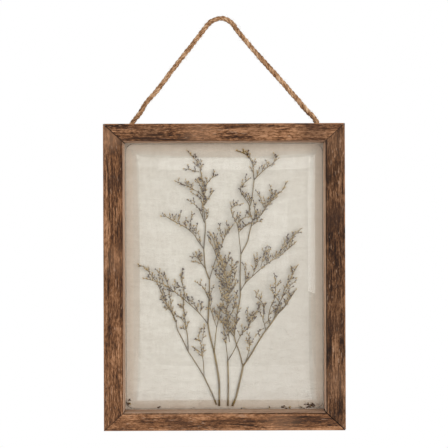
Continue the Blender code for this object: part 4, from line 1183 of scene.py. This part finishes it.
# %% The flowering branches' lines
# Each branch: the layer it leaves, its own layer, then its main line and its side twigs.
FLOWERING_BRANCHES = {
    "sprig_a_left_flowers": (0, 0, [
        [(-46, 71), (-53, 86), (-60, 100), (-62, 111), (-68, 123), (-77, 140), (-85, 158)],
        [(-63, 112), (-70, 125), (-80, 138)], [(-67, 123), (-69, 139), (-71, 152)],
        [(-70, 125), (-75, 127)], [(-74, 138), (-78, 141)]]),
    "sprig_a_top_flowers": (0, 0, [
        [(-46, 71), (-47, 92), (-49, 100), (-50, 112), (-52, 130), (-51, 143), (-52, 152), (-55, 164),
         (-53, 174)],
        [(-48, 100), (-46, 107)], [(-50, 99), (-54, 101)], [(-50, 107), (-56, 114), (-62, 118)],
        [(-51, 125), (-57, 129)], [(-53, 152), (-58, 154), (-62, 160)]]),
    "sprig_a_low_flowers": (0, 1, [
        [(-26, 39), (-27, 59), (-29, 70), (-30, 82), (-33, 88), (-30, 100)],
        [(-29, 83), (-27, 92), (-26, 104)], [(-30, 70), (-36, 75), (-40, 77)],
        [(-28, 68), (-26, 77)], [(-30, 85), (-35, 87)]]),
    "sprig_b_long_flowers": (0, 1, [
        [(-21, 106), (-31, 119), (-48, 135), (-63, 147), (-74, 155), (-86, 160), (-101, 164)],
        [(-86, 160), (-93, 169), (-99, 177), (-108, 181)], [(-70, 153), (-74, 163), (-75, 171)],
        [(-81, 158), (-82, 167), (-81, 174)], [(-63, 147), (-62, 157)], [(-31, 119), (-37, 128), (-41, 139)],
        [(-31, 119), (-29, 133)], [(-43, 131), (-47, 138), (-48, 143)], [(-76, 156), (-77, 148), (-74, 139)],
        [(-90, 161), (-91, 170)], [(-94, 169), (-96, 178)]]),
    "sprig_b_inner_flowers": (0, 1, [
        [(-19, 162), (-14, 178), (-9, 193), (-5, 200), (0, 214), (7, 225), (12, 232)],
        [(-2, 210), (-3, 218), (-5, 224), (-6, 231)], [(2, 217), (1, 225)], [(4, 220), (5, 228), (3, 234)],
        [(-10, 192), (-14, 203), (-19, 210), (-20, 216)], [(-9, 195), (-13, 210), (-16, 217), (-19, 221)],
        [(-8, 196), (-9, 210), (-13, 219)], [(-7, 196), (-7, 208)]]),
    "sprig_b_short_flowers": (0, 1, [
        [(-24, 176), (-31, 186), (-36, 191), (-41, 191)], [(-31, 186), (-36, 196)],
        [(-30, 185), (-32, 198)], [(-27, 181), (-34, 184), (-40, 185)]]),
    "sprig_b_left_flowers": (0, 1, [
        [(-26, 201), (-33, 211), (-39, 220), (-49, 228), (-60, 234), (-69, 239), (-77, 245)],
        [(-60, 234), (-56, 240), (-55, 247)], [(-64, 236), (-61, 243)], [(-48, 227), (-49, 235), (-48, 239)],
        [(-42, 223), (-42, 238), (-41, 247)], [(-39, 220), (-39, 229)], [(-36, 216), (-35, 226), (-34, 231)],
        [(-30, 207), (-32, 218)]]),
    "sprig_b_side_flowers": (0, 1, [
        [(-25, 234), (-29, 245), (-33, 253), (-39, 258), (-45, 262)], [(-25, 237), (-21, 241), (-20, 250)],
        [(-27, 241), (-28, 258), (-29, 265)]]),
    "sprig_b_upper_side_flowers": (0, 1, [
        [(-25, 264), (-32, 272), (-39, 276), (-46, 280), (-53, 283), (-60, 286)],
        [(-30, 265), (-36, 269), (-41, 272)], [(-27, 274), (-30, 281), (-34, 287)],
        [(-39, 276), (-44, 285)], [(-46, 280), (-48, 287)]]),
    "sprig_b_lower_side_flowers": (0, 1, [
        [(-20, 138), (-23, 145), (-28, 154), (-36, 159)], [(-20, 137), (-17, 145), (-14, 154)],
        [(-20, 132), (-17, 139)], [(-21, 140), (-24, 146)]]),
    "sprig_b_top_flowers": (0, 0, [
        [(-26, 201), (-25, 212), (-24, 224), (-24, 235), (-26, 253), (-26, 264), (-25, 274), (-25, 279),
         (-28, 289), (-30, 301), (-33, 309), (-39, 317), (-46, 324)],
        [(-25, 256), (-20, 264), (-14, 273)], [(-25, 279), (-18, 288), (-13, 293), (-13, 299)],
        [(-25, 273), (-22, 282)], [(-26, 266), (-23, 274)], [(-26, 284), (-30, 290)],
        [(-31, 298), (-39, 300), (-49, 302)], [(-30, 301), (-29, 312)], [(-32, 304), (-38, 309)],
        [(-25, 256), (-22, 265)], [(-26, 268), (-30, 279)]]),
    "sprig_c_flowers": (1, 1, [
        [(-10, 102), (-7, 115), (-4, 129)], [(-10, 102), (-17, 123), (-19, 134)], [(-8, 111), (-10, 122)],
        [(-5, 122), (-2, 129)], [(-17, 125), (-21, 126)]]),
    "sprig_d_left_flowers": (0, 1, [
        [(4, 59), (1, 86), (-2, 105), (-5, 113)], [(2, 85), (4, 105), (2, 124)], [(3, 101), (-1, 108)],
        [(3, 105), (6, 112)]]),
    "sprig_d_right_flowers": (0, 1, [
        [(4, 59), (13, 75), (17, 85), (22, 94), (30, 102), (36, 115), (44, 126), (45, 131)],
        [(22, 94), (22, 103)], [(30, 102), (29, 118), (29, 126)], [(31, 105), (32, 115), (35, 120)],
        [(34, 108), (39, 113)], [(36, 113), (39, 120)], [(43, 124), (42, 132)]]),
    "sprig_e_left_flowers": (0, 1, [
        [(12, 90), (6, 98), (0, 105), (-7, 112), (-13, 125)], [(8, 95), (5, 103)], [(10, 92), (13, 99)],
        [(4, 101), (7, 107)]]),
    "sprig_e_low_flowers": (0, 2, [
        [(27, 58), (31, 76), (31, 85), (31, 94)], [(31, 80), (27, 88)], [(31, 78), (35, 86)]]),
    "sprig_e_middle_flowers": (0, 2, [
        [(52, 98), (50, 107), (48, 113), (50, 123), (47, 133), (41, 140), (39, 147)],
        [(50, 100), (45, 98), (39, 91)], [(50, 112), (45, 120)], [(48, 125), (52, 131)],
        [(50, 105), (57, 113)], [(44, 137), (47, 145)]]),
    "sprig_e_inner_flowers": (0, 2, [
        [(58, 105), (55, 113), (58, 128), (63, 139), (64, 155), (63, 168)], [(63, 139), (69, 148)],
        [(59, 130), (63, 124)], [(64, 152), (69, 160)], [(56, 118), (60, 122)], [(62, 145), (58, 153)]]),
    "sprig_e_upper_flowers": (0, 1, [
        [(62, 110), (67, 128), (72, 138), (76, 150), (83, 163), (92, 179)],
        [(72, 138), (81, 152), (89, 160)],
        [(69, 133), (64, 141)], [(76, 150), (81, 158)], [(67, 128), (72, 131)], [(82, 162), (90, 164)],
        [(64, 117), (68, 126)], [(86, 168), (84, 178)]]),
    "sprig_e_tip_flowers": (0, 0, [
        [(68, 119), (76, 127), (83, 138), (90, 148)], [(69, 120), (72, 130)], [(76, 128), (81, 140)],
        [(64, 114), (64, 123)], [(81, 135), (87, 145)]]),
    "sprig_f_left_flowers": (0, 2, [
        [(21, 194), (19, 212), (18, 222), (16, 232), (12, 240), (9, 247), (9, 251), (14, 255), (22, 257)],
        [(16, 230), (18, 236), (17, 244)], [(18, 221), (23, 227), (29, 232), (34, 234)],
        [(17, 229), (22, 238), (27, 241), (33, 241)], [(12, 254), (14, 258)]]),
    "sprig_f_mid_right_flowers": (0, 1, [
        [(20, 147), (26, 157), (35, 166), (44, 174), (54, 182), (68, 191), (79, 199), (90, 209)],
        [(26, 156), (27, 171), (27, 181)], [(27, 159), (31, 170)], [(35, 166), (39, 178), (37, 192)],
        [(38, 172), (42, 187)], [(69, 192), (76, 209), (80, 217)],
        [(71, 194), (80, 207), (87, 216), (97, 226)],
        [(42, 180), (41, 194)], [(46, 178), (50, 192), (53, 202)], [(48, 190), (54, 198)],
        [(54, 182), (56, 194), (58, 201)], [(53, 182), (54, 195)], [(79, 200), (76, 208)],
        [(86, 206), (81, 213)],
        [(87, 214), (86, 220)], [(60, 187), (66, 196)], [(64, 190), (71, 198)]]),
    "sprig_f_inner_flowers": (0, 1, [
        [(34, 233), (27, 230), (21, 225)], [(34, 229), (40, 234), (47, 237)], [(41, 234), (44, 243)],
        [(35, 240), (29, 248)]]),
    "sprig_f_side_flowers": (0, 1, [
        [(33, 250), (31, 257), (24, 268), (20, 276), (25, 283), (32, 289)],
        [(31, 258), (33, 265), (29, 271)],
        [(26, 264), (27, 270)], [(29, 260), (33, 264)], [(22, 278), (26, 279)]]),
    "sprig_f_right_flowers": (0, 1, [
        [(36, 237), (46, 243), (51, 250), (57, 258), (64, 267), (71, 272), (75, 277), (79, 284)],
        [(50, 252), (46, 264), (41, 273)], [(62, 265), (60, 273), (58, 280)],
        [(51, 250), (52, 259), (50, 265)],
        [(38, 238), (39, 246), (38, 252), (37, 260)], [(39, 239), (42, 248)],
        [(48, 247), (55, 257), (63, 266)],
        [(53, 253), (62, 264), (68, 270)], [(44, 243), (52, 250)], [(57, 259), (66, 265)]]),
    "sprig_f_top_flowers": (0, 0, [
        [(38, 288), (37, 300), (36, 308), (33, 314), (29, 319), (23, 322), (17, 324)],
        [(36, 304), (40, 309)], [(31, 317), (28, 323)], [(37, 297), (34, 303)]]),
    "sprig_f_top_right_flowers": (0, 1, [
        [(38, 288), (46, 296), (53, 302), (60, 307), (64, 311), (67, 317)],
        [(41, 291), (44, 299), (45, 302)],
        [(48, 298), (51, 306)], [(54, 303), (56, 308)], [(62, 309), (68, 314)]]),
    "centre_flowers_upper": (2, 2, [
        [(6, 146), (2, 160), (0, 174), (-4, 188), (-7, 196)], [(5, 150), (7, 163), (9, 174), (9, 187)],
        [(1, 168), (-6, 178), (-10, 188)], [(2, 160), (-8, 168), (-15, 177)],
        [(5, 152), (12, 163), (15, 173)],
        [(0, 174), (5, 186), (6, 195)], [(5, 166), (11, 177), (15, 183)], [(-4, 186), (-9, 193)],
        [(3, 156), (-5, 161), (-10, 167)], [(1, 174), (1, 191)], [(-1, 176), (-7, 184)],
        [(2, 164), (9, 170)],
        [(5, 150), (-2, 156), (-6, 162)], [(6, 148), (12, 154), (15, 162)],
        [(6, 147), (1, 150), (-5, 153)]]),
    "centre_flowers_lower": (2, 2, [
        [(6, 84), (4, 105), (3, 123), (4, 140), (5, 146)], [(4, 112), (10, 123), (14, 133)],
        [(3, 123), (-2, 133), (-4, 144)], [(5, 95), (14, 107), (16, 118), (17, 129)], [(4, 136), (9, 142)],
        [(14, 107), (10, 116)], [(3, 118), (-4, 123), (-9, 130)], [(4, 131), (12, 140)],
        [(9, 101), (18, 111)], [(4, 132), (0, 142)],
        [(4, 136), (-3, 142), (-6, 150)], [(5, 144), (10, 149), (13, 155)], [(4, 138), (-1, 147), (-2, 156)],
        [(10, 123), (14, 134), (16, 146)]]),
}
print("stems:", len(STEMS), "flowering branches:", len(FLOWERING_BRANCHES))


# %% Lines that rise to their layer
RISE_LENGTH = 14 * MM


def layer_y(layer):
    return SHEET_FRONT_Y - LAYER_FIRST - layer * LAYER_PITCH


def sprig_line(route, start_y, end_y, spacing):
    """An even line through (across, up) millimetres that eases from one depth to another."""
    flat = [Vector((x * MM, 0, BUNCH_FOOT_Z + z * MM)) for x, z in route]
    line = even_line(smooth_route(flat, 6), spacing)
    share = np.clip(walked_lengths(line) / RISE_LENGTH, 0, 1)
    line[:, 1] = start_y + (end_y - start_y) * share * share * (3 - 2 * share)
    return line


# %% Stems
STEM_SIDES = 10
STEM_STEP = 2.2 * MM
LOW_GIRTH = 1.32 * MM
HIGH_GIRTH = 1.12 * MM


def add_stalk(bm, line, radii, tone, sides, foot=0.0):
    """A stalk with small nodes, tapered between two radii. How far up the plant it is, is stored as rise."""
    count = len(line)
    taper = np.linspace(*radii, count)
    bumps = np.array([1 + 0.12 * noise.noise(Vector((i * 0.35, tone * 40, 1.5))) for i in range(count)])
    surface = round_surface(line, taper * bumps, sides)
    rise = np.repeat(np.linspace(foot, 1.0, count)[:, None], sides, axis=1)
    add_wrapped(bm, surface, rise=rise, tone=np.full((count, sides), tone), heart=np.zeros((count, sides)))


stem_lines = {}
for name, (start_layer, layer, foot_radius, top_radius, route) in STEMS.items():
    stem_lines[name] = sprig_line(route, layer_y(start_layer), layer_y(layer), STEM_STEP)
longest = max(walked_lengths(line)[-1] for line in stem_lines.values())
print("longest stem, mm:", round(longest / MM, 1))

# %% [markdown]
# ## Dry stem and floret materials
# Dried stems are olive brown, darkest at the cut foot, with fine lines along them. Dried
# florets are papery: a green-brown bract at the base, a tan funnel with a pale rim, and a dark
# purple-brown heart where the petals have shrunk. About two in five never opened and are dark all over,
# which gives the clusters their dots. Both materials read values stored on the sprig.

# %% Stem material
dry_stem, tree, shader, place = new_material("dry stem", 0.7, 0.3)
stem_fibres = streaked(tree, place, (2200, 2200, 260), 0.3)
stem_mottle = mottled(tree, place, 8.0, 0.6)
stem_tone = weighed(tree, (stem_fibres["Tone"], 0.5), (stem_mottle["Tone"], 0.5))
stem_colour = coloured(tree, faded(tree, stem_tone, 0.36, 0.64), (0.0, (0.07, 0.038, 0.006)),
                       (0.5, (0.15, 0.09, 0.014)), (1.0, (0.24, 0.155, 0.035)))
stem_rise = own_value(tree, "rise")
foot_mask = faded(tree, stem_rise, 0.16, 0.0)
stem_colour = mixed(tree, faded(tree, stem_rise, 0.45, 0.9, 0.0, 0.4), stem_colour, (0.33, 0.23, 0.085))
stem_dark = mixed(tree, product(tree, foot_mask, 0.6), stem_colour, (0.06, 0.035, 0.018))
stem_spotted = mixed(tree, stem_mottle["Spots"], stem_dark, (0.07, 0.04, 0.022))
paint(tree, shader, stem_spotted)
raise_surface(tree, shader, stem_fibres["Height"], 0.5, 0.4 * MM)

# %% Floret material
dry_floret, tree, shader, place = new_material("dry floret", 0.9, 0.15)
floret_mottle = mottled(tree, place, 1.6, 0.8)
rise = own_value(tree, "rise")
papery = coloured(tree, rise, (0.0, (0.10, 0.058, 0.008)), (0.3, (0.24, 0.14, 0.026)),
                  (0.6, (0.47, 0.31, 0.115)), (1.0, (0.76, 0.59, 0.34)))
older = coloured(tree, rise, (0.0, (0.035, 0.012, 0.006)), (0.4, (0.045, 0.016, 0.009)),
                 (1.0, (0.08, 0.034, 0.024)))
floret_tone = mixed(tree, faded(tree, own_value(tree, "tone"), 0.36, 0.44), older, papery)
heart_mask = product(tree, own_value(tree, "heart"), 0.85)
hearted = mixed(tree, heart_mask, floret_tone, (0.055, 0.03, 0.03))
clouded = mixed(tree, faded(tree, floret_mottle["Tone"], 0.35, 0.65, 0.3, 0.0), hearted, (0.10, 0.07, 0.045))
spotted = mixed(tree, product(tree, floret_mottle["Spots"], 0.7), clouded, (0.06, 0.035, 0.03))
paint(tree, shader, spotted)

# %% Stem pieces
for index, (name, (start_layer, layer, foot_radius, top_radius, route)) in enumerate(STEMS.items()):
    starts_low = route[0][1] < 10
    stem_bm = bmesh.new()
    girth = LOW_GIRTH if starts_low else HIGH_GIRTH
    add_stalk(stem_bm, stem_lines[name], (girth * foot_radius, girth * top_radius), 0.2 + 0.05 * index,
              STEM_SIDES, 0.0 if starts_low else 0.5)
    finish_piece(name + "_stalk", stem_bm, [dry_stem], [name], 60)


# %% The floret shape
# Each ring of the floret: its place along X, its radius, and the rise and heart stored on it.
FLORET_RINGS = [(0.0, 0.07, 0, 0), (0.22, 0.15, 0.15, 0), (0.55, 0.17, 0.5, 0), (0.95, 0.36, 1, 0),
                (0.80, 0.14, 0.8, 0.7), (0.66, 0.09, 0.6, 1)]
RIM = 3
PAPERY_PART = 1


def floret_shape():
    """One dried floret along X, one unit long: a bract, a funnel, five rim lobes and a dark heart."""
    bm = bmesh.new()
    rise_layer = bm.verts.layers.float.new("rise")
    heart_layer = bm.verts.layers.float.new("heart")
    circle = bmesh.ops.create_circle(bm, cap_ends=True, segments=10, radius=1)["verts"]
    edges = list({edge for vert in circle for edge in vert.link_edges})
    ring = list(circle)
    for number, (x, radius, rise, heart) in enumerate(FLORET_RINGS):
        if number:
            grown = bmesh.ops.extrude_edge_only(bm, edges=edges)["geom"]
            ring = [item for item in grown if isinstance(item, bmesh.types.BMVert)]
            edges = [e for e in grown if isinstance(e, bmesh.types.BMEdge) and set(e.verts) <= set(ring)]
        for vert in ring:
            angle = math.atan2(vert.co.z, vert.co.y) if number else math.atan2(vert.co.y, vert.co.x)
            lobe = 1 + 0.32 * math.cos(5 * angle) * (number == RIM)
            ahead = 0.07 * math.cos(5 * angle) * (number == RIM)
            vert.co = (x + ahead, radius * lobe * math.cos(angle), radius * lobe * math.sin(angle))
            vert[rise_layer] = rise
            vert[heart_layer] = heart
    bmesh.ops.contextual_create(bm, geom=edges)
    bmesh.ops.recalc_face_normals(bm, faces=bm.faces)
    for face in bm.faces:
        face.material_index = PAPERY_PART
    print("floret faces:", len(bm.faces))
    return shape_arrays(bm, "rise", "heart", "tone")


FLORET = floret_shape()

# %% [markdown]
# ## Dressing the branches
# A branch is a main line with side twigs. Short twiglets are added between them, mostly on the upper side,
# and florets sit along the outer part of every twig at uneven distances, leaning outwards. The random
# numbers are seeded by branch, so that each branch can change without changing the others.

# %% Dress one branch
FLORET_SPACING = {"centre_flowers_upper_dried": 1.7 * MM, "centre_flowers_lower_dried": 2.5 * MM}
USUAL_SPACING = 2.7 * MM
TWIGLET_SPACING = 2.9 * MM
MAIN_RADII = (0.62 * MM, 0.36 * MM)
SIDE_RADII = (0.42 * MM, 0.28 * MM)
TWIGLET_RADII = (0.28 * MM, 0.2 * MM)


def upper_side(forward):
    """The direction across a twig that points most upwards, or outwards if the twig is upright."""
    side = Vector((-forward.z, 0, forward.x))
    if side.z < -0.15 or (abs(side.z) <= 0.15 and random.random() < 0.5):
        side = -side
    return side


def spot_on(line, walked, at):
    """The place at a distance along a line, and the line's direction there."""
    place = Vector([np.interp(at, walked, line[:, axis]) for axis in range(3)])
    ahead = min(np.searchsorted(walked, at), len(line) - 1)
    return place, Vector(line[ahead] - line[max(ahead - 1, 0)]).normalized()


def floret_places(line, bare, spacing):
    """Matrices for the florets along a line, from bare metres along it to its tip."""
    walked = walked_lengths(line)
    places = []
    at = bare
    while at <= walked[-1]:
        place, forward = spot_on(line, walked, at)
        side = upper_side(forward) if random.random() < 0.75 else -upper_side(forward)
        lean = random.uniform(0.45, 1.0)
        way = forward + side * lean + Vector((0, random.uniform(-0.45, 0.25), 0))
        length = random.uniform(1.9, 3.0) * MM
        places.append(aimed(place, way, random.uniform(0, 6.28), length))
        at += spacing * random.uniform(0.6, 1.4)
    forward = Vector(line[-1] - line[-2]).normalized()
    way = forward + Vector((random.uniform(-0.5, 0.5), random.uniform(-0.4, 0.2), random.uniform(-0.2, 0.5)))
    places.append(aimed(Vector(line[-1]), way, random.uniform(0, 6.28), random.uniform(2.0, 3.2) * MM))
    return places


def twiglet_lines(line, first, gap):
    """Short extra twigs along a line, mostly up and outwards."""
    walked = walked_lengths(line)
    made = []
    at = first
    while at < walked[-1] - 3 * MM:
        root, forward = spot_on(line, walked, at)
        side = upper_side(forward) * (1 if random.random() < 0.72 else -1)
        way = (forward * random.uniform(0.5, 1.0) + side * random.uniform(0.5, 1.0)
               + Vector((0, random.uniform(-0.25, 0.15), 0.15))).normalized()
        length = random.uniform(2.5, 5.5) * MM
        bend = Vector((0, 0, 0.25 * length))
        points = [root, root + way * length * 0.5, root + way * length + bend]
        made.append(even_line(points, 1.6 * MM))
        at += gap * random.uniform(0.7, 1.4)
    return made


def dress_branch(name, start_layer, layer, routes, seed):
    """The whole flowering branch as one mesh: its twigs and its florets."""
    random.seed(seed)
    crowd = name.startswith("centre")
    end_y = layer_y(layer)
    main = sprig_line(routes[0], layer_y(start_layer), end_y, 2.0 * MM)
    bm = bmesh.new()
    florets = []
    add_stalk(bm, main, MAIN_RADII, random.random(), 6)
    lines = [main]
    for route in routes[1:]:
        root = Vector((route[0][0] * MM, 0, BUNCH_FOOT_Z + route[0][1] * MM))
        flat = main.copy()
        flat[:, 1] = 0
        nearest = int(np.argmin(np.linalg.norm(flat - np.array(root), axis=1)))
        own_y = end_y + random.uniform(-0.9, 0.7) * MM
        side_line = sprig_line(route, main[nearest][1], own_y, 1.8 * MM)
        lines.append(side_line)
        add_stalk(bm, side_line, SIDE_RADII, random.random(), 5)
    for number, line in enumerate(lines):
        length = walked_lengths(line)[-1]
        bare = length * (0.1 if crowd else 0.42 if number == 0 else 0.25)
        florets += floret_places(line, bare, FLORET_SPACING.get(name, USUAL_SPACING))
        for twiglet in twiglet_lines(line, bare, (6 if crowd else 9) * MM):
            add_stalk(bm, twiglet, TWIGLET_RADII, random.random(), 4)
            florets += floret_places(twiglet, 1.6 * MM, TWIGLET_SPACING)
    tones = [random.random() for _ in florets]
    bmesh.ops.recalc_face_normals(bm, faces=bm.faces)
    parts = [shape_arrays(bm, "rise", "heart", "tone"), *stamped(FLORET, florets, tones)]
    return joined_mesh(name, parts), len(florets)


# %% All flowering branches
floret_count = 0
for seed, (name, (start_layer, layer, routes)) in enumerate(FLOWERING_BRANCHES.items()):
    piece_name = name + "_dried"
    mesh, count = dress_branch(piece_name, start_layer, layer, routes, 100 + seed)
    finish_piece(piece_name, mesh, [dry_stem, dry_floret], [name], 50)
    floret_count += count
print("florets:", floret_count)

# %% [markdown]
# ## Fallen crumbs
# A few florets and bits of twig have dropped and lie along the lower edge of the opening, most of them in
# the corners. They are the same florets, lying down.

# %% The crumbs
# Each heap: its middle across and up, its spread both ways in millimetres, and its number of florets.
CRUMB_HEAPS = [
    (-84, 2, 2, 3, 3), (-121, 6, 3, 2, 5), (-119, 9, 1, 1, 2), (107, 3, 4, 2, 12), (97, 0.5, 3, 0.8, 5),
    (78, 0, 4, 0.6, 5), (55, 0, 5, 0.6, 4), (25, 0, 5, 0.5, 3), (112, 5, 2, 3, 4), (-40, 0, 6, 0.5, 2)]
random.seed(5)
crumb_places = []
crumb_twigs = bmesh.new()
for x, z, spread_x, spread_z, count in CRUMB_HEAPS:
    for _ in range(count):
        spot = Vector((
            (x + random.gauss(0, spread_x / 2)) * MM,
            SHEET_FRONT_Y - random.uniform(0.5, 0.9) * MM,
            BUNCH_FOOT_Z + (z + random.gauss(0, spread_z / 2)) * MM))
        way = Vector((random.uniform(-1, 1), random.uniform(-0.15, 0.1), random.uniform(-0.4, 0.4)))
        crumb_places.append(aimed(spot, way, random.uniform(0, 6.28), random.uniform(1.8, 3.4) * MM))
    if count > 3:
        start = Vector((x * MM, SHEET_FRONT_Y - 0.5 * MM, BUNCH_FOOT_Z + z * MM))
        end = start + Vector((random.uniform(-5, 5), 0, random.uniform(-1, 2))) * MM
        line = even_line([start, start.lerp(end, 0.5) + Vector((0, 0, 0.4 * MM)), end], 1.2 * MM)
        add_stalk(crumb_twigs, line, (0.3 * MM, 0.2 * MM), random.random(), 5)
crumb_tones = [random.uniform(0, 0.55) for _ in crumb_places]
bmesh.ops.recalc_face_normals(crumb_twigs, faces=crumb_twigs.faces)
crumb_parts = [shape_arrays(crumb_twigs, "rise", "heart", "tone"),
               *stamped(FLORET, crumb_places, crumb_tones)]
crumb_mesh = joined_mesh("fallen_crumbs", crumb_parts)
finish_piece("fallen_crumbs", crumb_mesh, [dry_stem, dry_floret])
print("crumbs:", len(crumb_places))

# %% [markdown]
# ## Floor and light
# A plain pale floor lies far below. A tall soft box stands in front. It is what the dome reflects: the
# veil on the glass is its image, and two small panels that only the glass shows add the brighter gleams.
# A strong soft light from the right, which the glass doesn't show, shapes the rails and the rope, and one
# behind lights the back of the frame. The surroundings are white to the eye, give even light to all that
# is rough, and are dim to the glass.

# %% The floor
FLOOR_Z = -2.2
FLOOR_HALF = 6
floor_bm = bmesh.new()
floor_place = Matrix.Translation((0, -1.5, FLOOR_Z)) @ Matrix.Diagonal((FLOOR_HALF, FLOOR_HALF, 1, 1))
bmesh.ops.create_grid(floor_bm, x_segments=4, y_segments=4, size=1, matrix=floor_place)
floor = bpy.data.objects.new("floor", mesh_from("floor", floor_bm, outward=False))
pale_floor, tree, shader, place = new_material("pale floor", 0.9, 0.1)
shader.inputs["Base Color"].default_value = (0.8, 0.8, 0.8, 1)
floor.data.materials.append(pale_floor)
bpy.context.scene.collection.objects.link(floor)


# %% The lights
def soft_light(name, place, target, width, height, radiance, in_glass):
    """A rectangular soft light of a given radiance, aimed at a point."""
    data = bpy.data.lights.new(name, "AREA")
    data.shape = "RECTANGLE"
    data.size = width
    data.size_y = height
    data.energy = radiance * 4 * width * height
    light = bpy.data.objects.new(name, data)
    light.location = place
    light.rotation_euler = (Vector(target) - Vector(place)).to_track_quat("-Z", "Y").to_euler()
    light.visible_camera = False
    light.visible_glossy = in_glass
    bpy.context.scene.collection.objects.link(light)
    print(name, "radiance", radiance, "watts", round(data.energy, 1))
    return light


SOFT_BOX_Y = -1.2
DOME_Y = -0.025
BOX_ANGLES = {"side": 32, "top": 35, "foot": 52}
dome_to_box = DOME_Y - SOFT_BOX_Y
box_half = math.tan(math.radians(BOX_ANGLES["side"])) * dome_to_box
box_top = FRAME_CENTRE_Z + math.tan(math.radians(BOX_ANGLES["top"])) * dome_to_box
box_foot = FRAME_CENTRE_Z - math.tan(math.radians(BOX_ANGLES["foot"])) * dome_to_box
box_middle = (box_top + box_foot) / 2
box_size = (2 * box_half, box_top - box_foot)
box_place = (0, SOFT_BOX_Y, box_middle)
soft_light("front soft box", box_place, (0, 0, box_middle), *box_size, 0.66, True)
soft_light("right key", (1.25, -1.35, 0.0), (0, 0, FRAME_CENTRE_Z), 0.9, 1.1, 3.0, False)


def seen_in_dome(name, west, east, low, high, radiance):
    """A light that only the glass shows, between the given angles in degrees from the dome."""
    reach = dome_to_box - 0.03
    left, right, foot, top = [math.tan(math.radians(angle)) * reach for angle in (west, east, low, high)]
    middle = ((left + right) / 2, DOME_Y - reach, FRAME_CENTRE_Z + (foot + top) / 2)
    light = soft_light(name, middle, (middle[0], 0, middle[2]), right - left, top - foot, radiance, True)
    light.visible_diffuse = False


seen_in_dome("upper gleam", -12, 31, 20, 34, 0.6)
seen_in_dome("right gleam", 5, 11, -4, 7, 0.36)
soft_light("back light", (0.5, 1.6, 0.2), (0, 0, FRAME_CENTRE_Z), 1.4, 1.4, 1.6, True)

# %% The surroundings
world = bpy.data.worlds.new("white room")
world.use_nodes = True
tree = world.node_tree
seen = tree.nodes["Background"]
seen.inputs["Color"].default_value = (1, 1, 1, 1)
seen.inputs["Strength"].default_value = 1.0
dim = add_node(tree, "ShaderNodeBackground", {"Color": (0.9, 0.95, 1, 1), "Strength": 0.12})
open_sky = add_node(tree, "ShaderNodeBackground", {"Color": (1, 0.99, 0.98, 1), "Strength": 0.60})
rays = tree.nodes.new("ShaderNodeLightPath").outputs
unseen = mixed_shaders(tree, rays["Is Diffuse Ray"], dim.outputs[0], open_sky.outputs[0])
chosen = mixed_shaders(tree, rays["Is Camera Ray"], unseen, seen.outputs[0])
tree.links.new(chosen, tree.nodes["World Output"].inputs["Surface"])
bpy.context.scene.world = world
